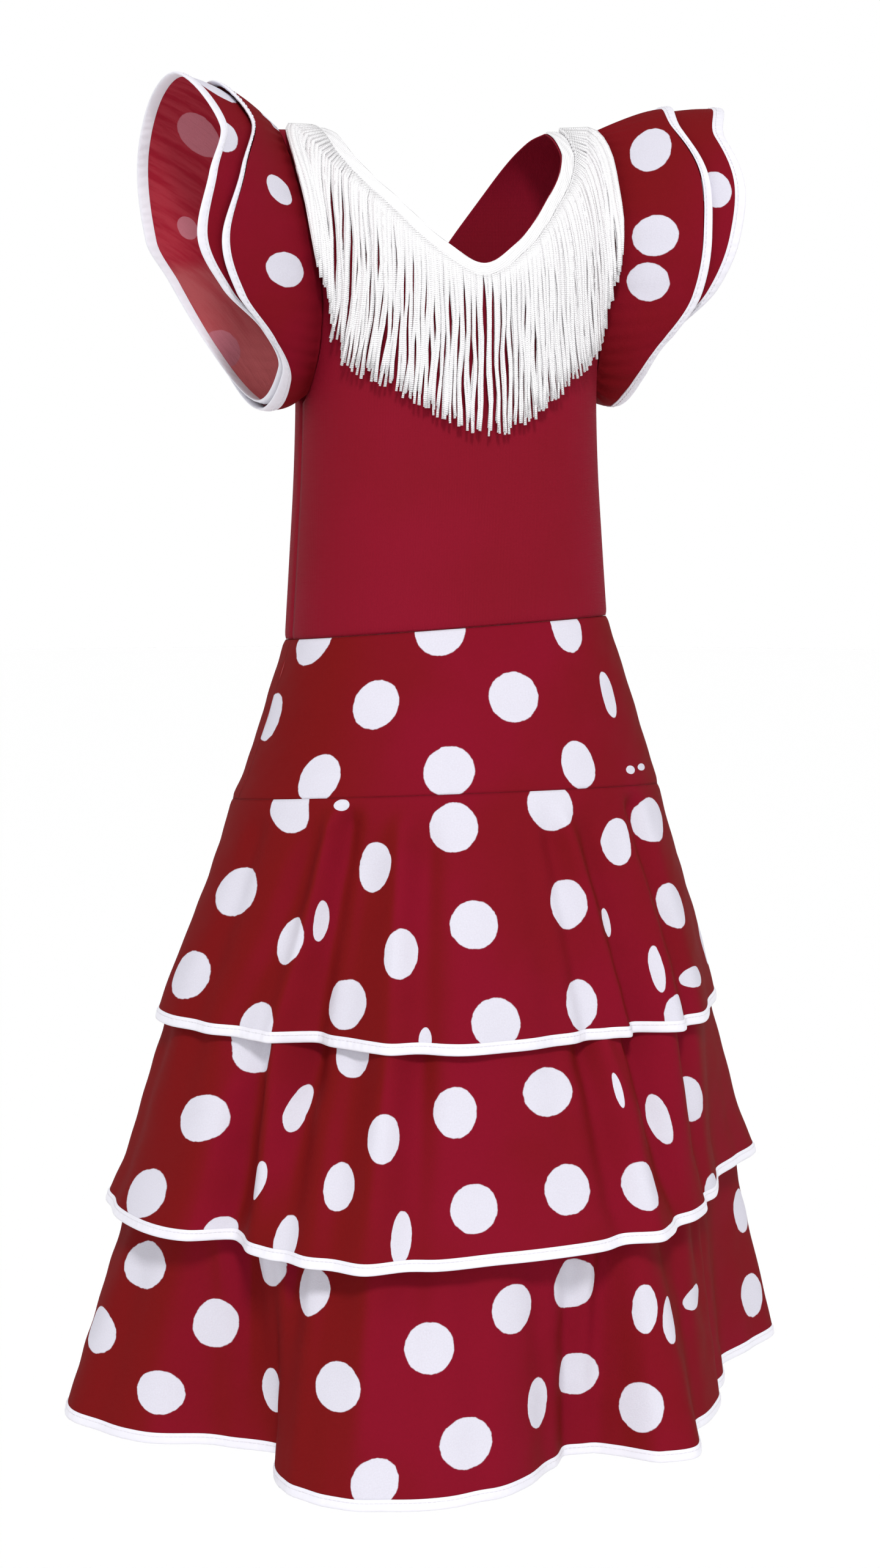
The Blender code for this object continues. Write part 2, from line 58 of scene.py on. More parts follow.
def tableCurve(knots, values, where, period=0.0):
    # Cubic through a table's rows that turns back only at its highest and lowest rows:
    # each knot's slope is the harmonic mean of the slopes beside it, or level at a turn.
    knots = np.asarray(knots, float)
    values = np.asarray(values, float)
    where = np.asarray(where, float)
    if period:
        first = knots[0]
        knots = np.concatenate((knots[-2:] - period, knots, knots[:2] + period))
        values = np.concatenate((values[-2:], values, values[:2]))
        where = first + (where - first) % period
    step = np.diff(knots)
    slope = np.diff(values) / step
    tangent = np.concatenate((slope[:1], np.zeros(len(knots) - 2), slope[-1:]))
    rising = slope[:-1] * slope[1:] > 0
    total = np.where(rising, slope[:-1] + slope[1:], 1.0)
    tangent[1:-1] = np.where(rising, 2 * slope[:-1] * slope[1:] / total, 0.0)
    row = np.clip(np.searchsorted(knots, where, side="right") - 1, 0, len(step) - 1)
    share = (where - knots[row]) / step[row]
    start = values[row] + share * step[row] * tangent[row] * (1 - share) ** 2
    bend = (values[row + 1] - values[row]) * share ** 2 * (3 - 2 * share)
    end = step[row] * tangent[row + 1] * share ** 2 * (share - 1)
    return start + bend + end


def fromTable(table, where, column=1, period=0.0):
    # One column of a table against its first
    rows = np.array(table, float)
    return tableCurve(rows[:, 0], rows[:, column], where, period)


def betweenRings(table, place):
    # Every column of a table against its rows' numbers
    return [tableCurve(np.arange(len(table)), column, place)
            for column in np.array(table, float).T]


def unit(vectors):
    return vectors / np.linalg.norm(vectors, axis=-1, keepdims=True)


def easeBetween(value, low, high):
    share = np.clip((value - low) / (high - low), 0, 1)
    return share * share * (3 - 2 * share)


def nearSeam(distance):
    # Nearly one on a seam, falling to nothing a few millimetres off it
    return np.exp(-(distance / cloth["seamReach"]) ** 2)


def runAlong(points, axis=0):
    # The length run along a line or a grid's rows or columns, up to each of its points
    run = np.cumsum(np.linalg.norm(np.diff(points, axis=axis), axis=-1), axis=axis)
    return np.insert(run, 0, 0.0, axis=axis)


def surfaceNormals(points, closed):
    # Cross product of the steps along and down a grid of points, rows by columns
    down = np.gradient(points, axis=0)
    if closed:
        along = np.roll(points, -1, axis=1) - np.roll(points, 1, axis=1)
    else:
        along = np.gradient(points, axis=1)
    return unit(np.cross(along, down))


def denseEnds(count, crowding=0.35):
    # Even steps from 0 to 1 that crowd towards both ends
    even = np.linspace(0, 1, count)
    return (1 - crowding) * even + crowding * (1 - np.cos(math.pi * even)) / 2


def flatPattern(points, closed, centre):
    # A flared band laid out flat as part of a ring: each point's way round is its row's own
    # length from the centre column, and its way down is its column's own length.
    if closed:
        points = np.concatenate((points, points[:, :1]), axis=1)
    across, down = runAlong(points, 1), runAlong(points)
    length = across[:, -1:]
    across = across - across[:, centre:centre + 1]
    flare = (length[-1, 0] - length[0, 0]) / down[-1].mean()
    radius = length[0, 0] / flare + down
    angle = flare * across / length
    return np.stack((radius * np.sin(angle), -radius * np.cos(angle)), axis=-1)


def sampleLine(values, run, where):
    # Values along a line, by column, between its points
    return np.stack([np.interp(where, run, column) for column in values.T], axis=-1)


def sampleGrid(grid, row, column):
    # A grid's values between its rows and columns
    top = np.clip(row.astype(int), 0, grid.shape[0] - 2)
    left = np.clip(column.astype(int), 0, grid.shape[1] - 2)
    down, along = (row - top)[:, None], (column - left)[:, None]
    upper = grid[top, left] * (1 - along) + grid[top, left + 1] * along
    lower = grid[top + 1, left] * (1 - along) + grid[top + 1, left + 1] * along
    return upper * (1 - down) + lower * down


def dotChart(flat, turn, share, printed):
    # The dots' centres on the flat pattern with half their widths and heights: first the listed
    # dots, which small folds squeeze, then a square lattice where none are charted
    degrees = np.degrees(turn)
    chart = np.array(printed["dots"], float)
    chart = chart[(chart[:, 0] >= degrees[0]) & (chart[:, 0] <= degrees[-1])]
    placed = sampleGrid(flat, np.interp(chart[:, 1], share, np.arange(len(share))),
                        np.interp(chart[:, 0], degrees, np.arange(len(degrees))))
    step = cloth["dotSpacing"]
    lines = np.arange(-16, 17)
    lattice = np.stack(np.meshgrid(lines, lines), axis=-1).reshape(-1, 2) + printed["offset"]
    cosine, sine = math.cos(math.radians(printed["turn"])), math.sin(math.radians(printed["turn"]))
    lattice = step * lattice @ np.array([[cosine, sine], [-sine, cosine]])
    spots = flat[::3, :len(degrees):4]
    apart = np.linalg.norm(lattice[:, None] - spots.reshape(-1, 2), axis=-1)
    found = np.tile(degrees[::4], len(spots))[apart.argmin(axis=1)]
    free = apart.min(axis=1) < step / 2
    for first, last in printed["charted"]:
        free &= (found < first) | (found > last)
    for place in placed:
        free &= np.linalg.norm(lattice - place, axis=-1) > cloth["dotClearance"] * step
    halves = np.concatenate((chart[:, 2:] / 2000, np.full((free.sum(), 2), cloth["dotRadius"])))
    return np.concatenate((placed, lattice[free])), halves


def dotPlaces(places, flat, centres, halves):
    # Each face's corners from the centre of its nearest dot, in halves of that dot's width and
    # height, so that a dot's edge lies at one
    angle = np.arctan2(centres[:, 0], -centres[:, 1])
    along = np.stack((np.cos(angle), np.sin(angle)), axis=-1) / halves[:, :1]
    down = np.stack((np.sin(angle), -np.cos(angle)), axis=-1) / halves[:, 1:]
    corners = flat[places[..., 0], places[..., 1]]
    middle = corners.mean(axis=1)
    apart = ((middle @ along.T - (centres * along).sum(-1)) ** 2
             + (middle @ down.T - (centres * down).sum(-1)) ** 2)
    nearest = apart.argmin(axis=1)
    offset = corners - centres[nearest][:, None]
    return np.stack([(offset * axis[nearest][:, None]).sum(-1) for axis in (along, down)], axis=-1)


def paintedSideShade(normals):
    # Painted shade: how far the cloth turns aside from the front, where its red is painted darker
    # and browner as if in shade
    facing = np.abs(normals @ unit(np.array(dottedFinish["front"])))
    return easeBetween(facing, *dottedFinish["turned"])


def addObject(name, data):
    made = bpy.data.objects.new(name, data)
    bpy.context.scene.collection.objects.link(made)
    return made


def newPiece(name, points, faces, uv, finish, layers=None, dots=None):
    # A mesh from arrays: points, four corners for each face, and UV places for each corner,
    # on the cut cloth and from its dots
    maps = {"cut": uv} if dots is None else {"cut": uv, "dots": dots}
    points = np.asarray(points, float)
    corner = points[faces]
    across = np.cross(corner[:, 2] - corner[:, 0], corner[:, 3] - corner[:, 1])
    if (corner.mean(axis=1) * across).sum() < 0:       # inside out: its volume is negative
        faces = faces[:, ::-1]
        maps = {key: values[:, ::-1] for key, values in maps.items()}
    mesh = bpy.data.meshes.new(name)
    mesh.vertices.add(len(points))
    mesh.vertices.foreach_set("co", points.astype(np.float32).ravel())
    mesh.loops.add(faces.size)
    mesh.loops.foreach_set("vertex_index", faces.astype(np.int32).ravel())
    mesh.polygons.add(len(faces))
    mesh.polygons.foreach_set("loop_start", np.arange(0, faces.size, 4, dtype=np.int32))
    mesh.update(calc_edges=True)
    for key, values in maps.items():
        mesh.uv_layers.new(name=key).data.foreach_set("uv", values.astype(np.float32).ravel())
    for layer, values in (layers or {}).items():
        attribute = mesh.attributes.new(layer, "FLOAT", "POINT")
        attribute.data.foreach_set("value", values.astype(np.float32).ravel())
    mesh.validate()
    mesh.shade_smooth()
    mesh.materials.append(finish)
    return addObject(name, mesh)


def gridFaces(rows, columns, closed):
    # Corner numbers of a grid's faces, with each corner's row and column for its UV place
    spaces = columns if closed else columns - 1
    place = np.stack(np.meshgrid(np.arange(rows - 1), np.arange(spaces), indexing="ij"), axis=-1)
    places = place.reshape(-1, 1, 2) + np.array([(0, 0), (0, 1), (1, 1), (1, 0)])
    return places[..., 0] * columns + places[..., 1] % columns, places


def clothFaces(outer, normals, intoBinding):
    # The cloth's outer and inner face, moved in to the middle of its binding where it ends
    inwards = (cloth["wall"] - cloth["thickness"]) / 2 * intoBinding
    outer = outer - normals * inwards[..., None]
    return outer[:, ::2], (outer - cloth["thickness"] * normals)[:, ::2]


def shellPiece(name, outer, inner, closed, uv, finish, layers=None, chart=None):
    # A closed shell: the outer grid, the inner one the other way round, and their edges
    rows, columns = outer.shape[:2]
    count = rows * columns
    faces, places = gridFaces(rows, columns, closed)
    allFaces = [faces, faces[:, ::-1] + count]
    allPlaces = [places, places[:, ::-1]]
    spaces = columns if closed else columns - 1
    borders = [((0, 0), (0, 1), spaces, 1), ((rows - 1, 0), (0, 1), spaces, -1)]
    if not closed:
        borders += [((0, 0), (1, 0), rows - 1, -1), ((0, columns - 1), (1, 0), rows - 1, 1)]
    for corner, step, steps, way in borders:
        start = corner + np.arange(steps)[:, None] * step
        place = np.stack((start + step, start, start, start + step), axis=1)
        face = place[..., 0] * columns + place[..., 1] % columns + (0, 0, count, count)
        allFaces.append(face[:, ::way])
        allPlaces.append(place[:, ::way])
    places = np.concatenate(allPlaces)
    points = np.concatenate((outer.reshape(-1, 3), inner.reshape(-1, 3)))
    reverse = np.repeat((0.0, 1.0), count)
    values = {"reverse": reverse, **{key: np.tile(value.ravel(), 2)
                                     for key, value in (layers or {}).items()}}
    dots = dotPlaces(places, uv, *chart) if chart else None
    return newPiece(name, points, np.concatenate(allFaces), uv[places[..., 0], places[..., 1]],
                    finish, values, dots)


def dottedPiece(name, outer, inner, closed, centre, turn, steps, printed, turned):
    # A band of the printed cloth, whose dots keep their shape on its flat pattern
    flat = flatPattern(outer, closed, centre)
    chart = dotChart(flat, turn, steps, printed)
    # the turned attribute carries the painted side shade into the cloth's colour
    return shellPiece(name, outer, inner, closed, flat, dotted, {"turned": turned}, chart)


class Value:
    # A node's output socket; arithmetic on it adds Math nodes
    def __init__(self, finish, socket):
        self.finish = finish
        self.socket = socket

    def __add__(self, other):
        return self.finish.maths("ADD", self, other)

    def __sub__(self, other):
        return self.finish.maths("SUBTRACT", self, other)

    def __rsub__(self, other):
        return self.finish.maths("SUBTRACT", other, self)

    def __mul__(self, other):
        return self.finish.maths("MULTIPLY", self, other)

    def __truediv__(self, other):
        return self.finish.maths("DIVIDE", self, other)

    __radd__ = __add__
    __rmul__ = __mul__


class Finish:
    # A material under construction
    def __init__(self, name, **settings):
        self.material = bpy.data.materials.new(name)
        self.material.use_nodes = True
        self.tree = self.material.node_tree
        self.shader = self.tree.nodes["Principled BSDF"]
        for socket, value in settings.items():
            self.shader.inputs[socket.replace("_", " ")].default_value = value

    def node(self, kind, settings, sockets, output=0):
        # Adds a node: first its settings, then the value or the link of each named socket
        made = self.tree.nodes.new(kind)
        for key, value in settings.items():
            setattr(made, key, value)
        for key, value in sockets.items():
            if isinstance(value, Value):
                self.tree.links.new(value.socket, made.inputs[key])
            else:
                made.inputs[key].default_value = value
        return Value(self, made.outputs[output])

    def maths(self, operation, *values):
        return self.node("ShaderNodeMath", {"operation": operation}, dict(enumerate(values)))

    def attribute(self, name):
        return self.node("ShaderNodeAttribute", {"attribute_name": name}, {}, "Fac")

    def axis(self, place, name):
        return self.node("ShaderNodeSeparateXYZ", {}, {"Vector": place}, name)

    def cutPlace(self):
        # The place on the cut cloth, and its two distances
        place = self.node("ShaderNodeUVMap", {"uv_map": "cut"}, {})
        return place, self.axis(place, "X"), self.axis(place, "Y")

    def noise(self, place, scale, detail=2.0, roughness=0.5):
        return self.node("ShaderNodeTexNoise", {}, {"Vector": place, "Scale": scale,
                                                    "Detail": detail, "Roughness": roughness})

    def objectPlace(self):
        return self.node("ShaderNodeTexCoord", {}, {}, "Object")

    def ramp(self, value, low, high, first=0.0, second=1.0, kind="SMOOTHSTEP"):
        return self.node("ShaderNodeMapRange", {"interpolation_type": kind},
                         {"Value": value, "From Min": low, "From Max": high,
                          "To Min": first, "To Max": second})

    def mix(self, share, first, second):
        def colour(value):
            return value if isinstance(value, Value) else (*value, 1.0)
        return self.node("ShaderNodeMix", {"data_type": "RGBA"},
                         {0: share, 6: colour(first), 7: colour(second)}, 2)

    def bump(self, height, distance, strength=1.0):
        made = self.node("ShaderNodeBump", {}, {"Height": height, "Distance": distance,
                                                "Strength": strength})
        self.feed("Normal", made)

    def feed(self, socket, value):
        self.tree.links.new(value.socket, self.shader.inputs[socket])


dottedFinish = {
    "red": (0.222, 0.0050, 0.0185), "deepRed": (0.196, 0.0056, 0.0120),
    "dot": (0.720, 0.708, 0.795),
    "sideShadeRed": (0.180, 0.0064, 0.0070),         # painted shade where the cloth turns aside from the front
    # front and turned: the direction, and the facings between which the painted side shade fades in
    "front": (0.10, -1.0, 0.10), "turned": (0.96, 0.52),
    "reverseRed": (0.400, 0.0345, 0.0530), "reverseDeep": (0.330, 0.0140, 0.0300),
    "reverseDot": (0.530, 0.180, 0.225), "wrinkle": 0.0016,
    # Painted light: the reverse's pale and low colours lighten it lower down, as if light shone
    # through the cloth
    "reverseThroughLight": (0.410, 0.088, 0.096), "throughLightBelow": (-0.086, -0.100),
    "reverseThroughLightLow": (0.620, 0.155, 0.165), "throughLightLowBelow": (-0.120, -0.165),
    "edgeBlur": 0.0004, "edgeWobble": 0.0008, "slubShade": (0.100, 0.012, 0.020),
    "thread": 0.00062,           # pitch of the weave
    "relief": 0.00016,
}


def makeDotted():
    # Plain weave with printed dots, whose reverse is pale with the print showing through, and
    # painted lighter lower down as if light shone through it
    values = dottedFinish
    finish = Finish("dottedCloth", Roughness=0.72, Specular_IOR_Level=0.03)
    place, across, down = finish.cutPlace()
    fromDot = finish.node("ShaderNodeVectorMath", {"operation": "LENGTH"},
                          {0: finish.node("ShaderNodeUVMap", {"uv_map": "dots"}, {})}, "Value")
    wobble = finish.noise(finish.objectPlace(), 210.0) - 0.5
    edge = fromDot + wobble * (2 * values["edgeWobble"] / cloth["dotRadius"])
    blur = values["edgeBlur"] / cloth["dotRadius"]
    dot = finish.ramp(edge, 1 - blur, 1 + blur, 1.0, 0.0)
    patches = finish.noise(finish.objectPlace(), 9.0, 3.0)
    red = finish.mix(finish.ramp(patches, 0.35, 0.65), values["red"], values["deepRed"])
    # Painted shade: the red is darkened and browned where the cloth turns aside from the front
    red = finish.mix(finish.attribute("turned"), red, values["sideShadeRed"])
    slub = finish.noise(place, 900.0, 3.0, 0.6)
    reverse = finish.attribute("reverse")
    stretched = finish.node("ShaderNodeMapping", {}, {"Vector": place, "Scale": (1.0, 0.16, 1.0)})
    wrinkle = finish.noise(stretched, 135.0, 3.0, 0.55)
    reverseRed = finish.mix(finish.ramp(wrinkle, 0.38, 0.62), values["reverseDeep"],
                            values["reverseRed"])
    # Painted light: below these heights the reverse is lightened, standing in for light shining
    # through the cloth
    height = finish.axis(finish.objectPlace(), "Z")
    throughLight = finish.ramp(height, *values["throughLightBelow"]) * finish.ramp(wrinkle, 0.3, 0.6, 0.6, 1.0)
    reverseRed = finish.mix(throughLight, reverseRed, values["reverseThroughLight"])
    reverseRed = finish.mix(finish.ramp(height, *values["throughLightLowBelow"]), reverseRed,
                            values["reverseThroughLightLow"])
    face = finish.mix(dot, red, values["dot"])
    back = finish.mix(dot, reverseRed, values["reverseDot"])
    cloths = finish.mix(reverse, face, back)
    shade = finish.ramp(slub, 0.25, 0.75, 0.0, 0.10, "LINEAR")
    finish.feed("Base Color", finish.mix(shade, cloths, values["slubShade"]))
    finish.feed("Roughness", finish.ramp(slub, 0.2, 0.8, 0.66, 0.80, "LINEAR"))
    turns = 2 * math.pi / values["thread"]
    warp = finish.maths("SINE", across * turns)
    weft = finish.maths("SINE", down * turns)
    grain = (warp * weft * 0.5 + slub * 1.6 + dot * 0.25) * values["relief"]
    finish.bump(grain + wrinkle * reverse * values["wrinkle"], 1.0, 0.8)
    return finish.material


jerseyFinish = {
    "red": (0.232, 0.0060, 0.0205), "deepRed": (0.212, 0.0063, 0.0165),
    "grainShade": (0.110, 0.007, 0.014),
    "wale": 0.0011,              # pitch of the knit's ribs
    "course": 0.0008,
}


def makeJersey():
    # Fine knit: ribs that run down the cloth, crossed by its courses
    values = jerseyFinish
    finish = Finish("stretchJersey", Roughness=0.66, Specular_IOR_Level=0.04)
    place, across, down = finish.cutPlace()
    patches = finish.noise(finish.objectPlace(), 7.0, 3.0)
    grain = finish.noise(place, 900.0, 3.0, 0.7)
    red = finish.mix(finish.ramp(patches, 0.35, 0.65), values["red"], values["deepRed"])
    shade = finish.ramp(grain, 0.25, 0.75, 0.0, 0.16, "LINEAR")
    finish.feed("Base Color", finish.mix(shade, red, values["grainShade"]))
    finish.feed("Roughness", finish.ramp(grain, 0.2, 0.8, 0.60, 0.74, "LINEAR"))
    wale = finish.maths("SINE", across * (2 * math.pi / values["wale"]))
    course = finish.maths("SINE", down * (2 * math.pi / values["course"]) + wale * 0.6)
    finish.bump(wale * 0.5 + course * 0.3 + grain * 1.2, 0.00014, 0.8)
    return finish.material


whiteFinish = {
    "binding": (0.800, 0.790, 0.855), "bindingShade": (0.680, 0.665, 0.750),
    "fringe": (0.975, 0.970, 0.980), "fringeGrooveShadeAndTone": (0.700, 0.660, 0.700),
    "ribPitch": 0.0009, "twistPitch": 0.0013,
}


def makeBindingFinish():
    # White folded tape cut on the bias, so its fine ribs lie aslant
    finish = Finish("bindingTape", Roughness=0.6, Sheen_Weight=0.15, Specular_IOR_Level=0.35)
    place, across, down = finish.cutPlace()
    grain = finish.noise(place, 700.0, 3.0, 0.65)
    patches = finish.noise(finish.objectPlace(), 26.0, 2.0)
    shade = finish.ramp(patches, 0.45, 0.8, 0.0, 0.35)
    finish.feed("Base Color", finish.mix(shade, whiteFinish["binding"],
                                         whiteFinish["bindingShade"]))
    finish.feed("Roughness", finish.ramp(grain, 0.2, 0.8, 0.52, 0.68, "LINEAR"))
    rib = finish.maths("SINE", (across + down) * (2 * math.pi / whiteFinish["ribPitch"]))
    finish.bump(rib * 0.4 + grain * 1.2, 0.00012, 0.7)
    return finish.material


def makeFringeFinish():
    # Twisted viscose: the ply winds round each strand with painted shade in its grooves, and
    # strands differ a little in tone
    finish = Finish("fringeCord", Roughness=0.5, Sheen_Weight=0.2, Specular_IOR_Level=0.4)
    _, around, along = finish.cutPlace()
    tone = finish.attribute("tone")
    twist = finish.maths("SINE", (along / whiteFinish["twistPitch"] + around) * (2 * math.pi))
    # Painted shade in the twist's grooves, plus each strand's own random tone
    shade = finish.ramp(twist, -1.0, 1.0, 0.10, 0.0, "LINEAR") + (1 - tone) * 0.6
    finish.feed("Base Color", finish.mix(shade, whiteFinish["fringe"],
                                         whiteFinish["fringeGrooveShadeAndTone"]))
    finish.feed("Roughness", finish.ramp(twist, -1.0, 1.0, 0.58, 0.44, "LINEAR"))
    finish.bump(twist, 0.00025, 0.8)
    return finish.material


def makeThreadFinish(name, colour, paintedGrooveShade):
    # Sewing thread with a fine ply, with painted shade in its grooves
    finish = Finish(name, Roughness=0.5, Specular_IOR_Level=0.4)
    _, around, along = finish.cutPlace()
    ply = finish.maths("SINE", (along * 900.0 + around) * (2 * math.pi))
    # Painted shade: the colour darkens in the ply's grooves
    finish.feed("Base Color", finish.mix(finish.ramp(ply, -1.0, 1.0, 0.4, 0.0, "LINEAR"),
                                         colour, paintedGrooveShade))
    finish.feed("Roughness", finish.ramp(ply, -1.0, 1.0, 0.6, 0.45, "LINEAR"))
    finish.bump(ply, 0.00008, 0.6)
    return finish.material


dotted = makeDotted()
jersey = makeJersey()
bindingTape = makeBindingFinish()
fringeCord = makeFringeFinish()
whiteThread = makeThreadFinish("whiteThread", (0.80, 0.79, 0.84), (0.52, 0.50, 0.56))
redThread = makeThreadFinish("redThread", (0.230, 0.010, 0.022), (0.110, 0.006, 0.012))
print("finishes made")


stitch = {
    "pitch": 0.0032, "length": 0.0024, "width": 0.00052, "height": 0.00034,
    "lift": 0.0001,
    "rings": [(-0.5, 0.25), (-0.36, 0.9), (0.0, 1.0), (0.36, 0.9), (0.5, 0.25)],
}


def stitchRow(name, line, normals, closed, finish):
    # Short threads at even steps along a line on the cloth, each five rings, thin at its ends
    if closed:
        line = np.concatenate((line, line[:1]))
        normals = np.concatenate((normals, normals[:1]))
    run = runAlong(line)
    count = int(run[-1] / stitch["pitch"])
    middle = (np.arange(count) + 0.5) * run[-1] / count
    rings = np.array(stitch["rings"])
    where = middle[:, None] + rings[:, 0] * stitch["length"]
    centre = sampleLine(line, run, where)
    up = unit(sampleLine(normals, run, where))
    across = unit(np.cross(np.gradient(centre, axis=1), up))
    return tubePiece(name, centre, across, up, 0.0, rings[:, 1] * stitch["width"] / 2,
                     rings[:, 1] * stitch["height"], finish)


def tubePiece(name, centre, across, up, start, wide, high, finish, layers=None):
    # Many tubes at once, by tube, ring and side: four points round each centre on an oval,
    # from the start angle on, with walls between the rings and two caps
    tubes, rings, sides = (*centre.shape[:2], 4)
    angle = start + np.arange(sides)[:, None] * 2 * math.pi / sides
    points = (centre[:, :, None] + across[:, :, None] * np.cos(angle) * wide[..., None, None]
              + up[:, :, None] * np.sin(angle) * high[..., None, None])
    first = np.arange(tubes)[:, None, None] * rings * sides
    wall, wallPlaces = gridFaces(rings, sides, True)
    caps = np.array([[3, 2, 1, 0], (rings - 1) * sides + np.arange(4)])
    faces = (first + np.concatenate((wall, caps))).reshape(-1, 4)
    capPlaces = np.array([[(ring, side) for side in range(4)] for ring in (0, rings - 1)])
    ring, side = np.moveaxis(np.concatenate((wallPlaces, capPlaces)), -1, 0)
    run = runAlong(centre, 1)
    around = np.broadcast_to(side / sides, (tubes,) + side.shape)
    uv = np.stack((around, run[:, ring]), axis=-1).reshape(-1, 4, 2)
    return newPiece(name, points.reshape(-1, 3), faces, uv, finish, layers)


bindingShape = {
    "steps": 9,                  # points from the binding's top to its fold, on either face
    "squareness": 3.2,           # how flat it lies between its top and its fold
    "fullness": 0.16,            # how much it puffs up between stitches
    "puckerPitch": 0.0066,
    "topThickness": 0.72,        # the least thickness of its outer face's upper edge
    "stitchPlace": 0.17,
}


def bindingPiece(name, node, top, bottom, normals, seed):
    # A folded tape round an edge, and its stitches. Its section runs from the top down the
    # outer face, round the fold, and up the inner face; half its thickness is a flat oval's,
    # puffed up by puckers.
    shape = bindingShape
    half = cloth["bindingThickness"] / 2
    middleTop = top - normals * cloth["wall"] / 2
    middleBottom = bottom - normals * cloth["wall"] / 2
    run = runAlong(np.concatenate((bottom, bottom[:1])))
    share = (1 - np.cos(np.linspace(0, math.pi, shape["steps"]))) / 2
    puckers = round(run[-1] / shape["puckerPitch"])
    phase = 2 * math.pi * puckers * run[:-1] / run[-1]
    drift = np.sin(phase / puckers * 7 + seed) + 0.6 * np.sin(phase / puckers * 17 + 2 * seed)
    puff = 1 + shape["fullness"] * np.sin(phase + 1.5 * drift)
    oval = half * (1 - np.abs(2 * share - 1) ** shape["squareness"]) ** (1 / 2)
    oval = np.where(share < 0.5, np.maximum(oval, half * shape["topThickness"]), oval)
    thick = oval[:, None] * (1 + (puff - 1) * np.sin(math.pi * share)[:, None])
    line = middleTop + (middleBottom - middleTop) * share[:, None, None]
    outer = line + normals * thick[..., None]
    inner = line - normals * thick[..., None]
    section = np.concatenate((outer, inner[-2::-1]))
    section = np.concatenate((section, section[:1]))
    uv = np.stack(np.meshgrid(run, runAlong(section[:, 0])), axis=-1)
    faces, places = gridFaces(len(section), len(bottom), True)
    faces = faces % (len(section[:-1]) * len(bottom))
    piece = newPiece(name + "Binding", section[:-1].reshape(-1, 3), faces,
                     uv[places[..., 0], places[..., 1]], bindingTape)
    spot = int(np.searchsorted(share, shape["stitchPlace"]))
    threads = stitchRow(name + "BindingStitches", outer[spot] + normals * stitch["lift"],
                        normals, True, whiteThread)
    rideRoot(piece, node + "_binding")
    rideRoot(threads)
    return [piece, threads]


def rideRoot(piece, node=None):
    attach(piece, "root")
    if node:
        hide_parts(node)


def finishSheet(piece, node):
    rideRoot(piece, node)


bodice = {
    "sections": [    # drop, height, middle, halfWidth, halfDepth, edge
        (0.000, 0.0000, 0.020, 0.1185, 0.0001, 0.1165),
        (0.015, -0.0035, 0.019, 0.1185, 0.0195, 0.1160),
        (0.030, -0.0105, 0.017, 0.1180, 0.0375, 0.1150),
        (0.050, -0.0245, 0.013, 0.1170, 0.0565, 0.1120),
        (0.080, -0.0515, 0.007, 0.1145, 0.0740, 0.1070),
        (0.120, -0.0905, 0.001, 0.1110, 0.0840, 0.1025),
        (0.160, -0.1305, 0.000, 0.1075, 0.0860, 0.1005),
        (0.190, -0.1605, 0.000, 0.1058, 0.0850, 0.1025),
        (0.207, -0.1775, 0.000, 0.1050, 0.0845, 0.1050),
        (0.260, -0.2300, 0.000, 0.1065, 0.0850, 0.1065),
        (0.320, -0.2900, 0.000, 0.1100, 0.0880, 0.1100),
        (0.380, -0.3500, 0.000, 0.1140, 0.0900, 0.1140)],
    "frontNeck": [(0.0000, 0.1205), (0.0235, 0.1075), (0.0515, 0.0780), (0.0755, 0.0410),
                  (0.0800, 0.0000)],      # reach, drop
    "backNeck": [(0.0000, 0.1465), (0.0290, 0.1040), (0.0560, 0.0620), (0.0710, 0.0300),
                 (0.0800, 0.0000)],
    "power": 2.4, "hipDrop": 0.380, "underarmDrop": 0.207, "hipTilt": 0.11,
    "hipSlant": 0.042, "hipLift": 0.0045,       # the hip seam rises towards the left hand
    "neckSamples": 600, "neckColumns": 56, "shoulderColumns": 16, "rows": 96,
    "evening": 0.014, "evenedFrom": (0.03, 0.09), "sideReach": 0.09,
    "underarmFade": 0.01,
    "hemStitch": 0.010,          # from the back neck's edge to its stitching
    "firstStitch": 0.004,        # the stitching starts this far below the shoulder
    "probe": 0.0005,             # step at which a place's normal is measured
    "flat": (0.31, 0.38), "area": 0.085,
}


def bodiceSize(column, drop):
    # The table's curve, averaged over a few millimetres either way so that no row shows
    names = ("drop", "height", "middle", "halfWidth", "halfDepth", "edge")
    drop = np.asarray(drop, float)
    window = bodice["evening"] * easeBetween(drop, *bodice["evenedFrom"])
    window = window * easeBetween(bodice["hipDrop"] - drop, 0, bodice["evening"])
    return np.mean([fromTable(bodice["sections"], drop + step * window, names.index(column))
                    for step in (-1.0, -0.5, 0.0, 0.5, 1.0)], axis=0)


def edgeReach(drop):
    # Half the panel's width: to the armhole, or below it to the side seam
    return np.minimum(bodiceSize("edge", drop), bodiceSize("halfWidth", drop))


def bodicePoints(reach, drop, side):
    # A squared oval at each drop: y = middle + side * depth * (1 - share^p)^(1/p), with
    # share = |reach| / half width; the height tilts up towards the front below the underarm.
    share = np.clip(np.abs(reach) / bodiceSize("halfWidth", drop), 0, 1)
    depth = bodiceSize("halfDepth", drop) * (1 - share ** bodice["power"]) ** (
        1 / bodice["power"])
    depth = np.maximum(depth, cloth["seamGap"] / 2)
    low = np.clip((drop - bodice["underarmDrop"])
                  / (bodice["hipDrop"] - bodice["underarmDrop"]), 0, 1)
    height = bodiceSize("height", drop) - bodice["hipTilt"] * side * depth * low
    height = height + (bodice["hipLift"] + bodice["hipSlant"] * reach) * low ** 2
    return np.stack((reach + 0 * depth, bodiceSize("middle", drop) + side * depth, height),
                    axis=-1)


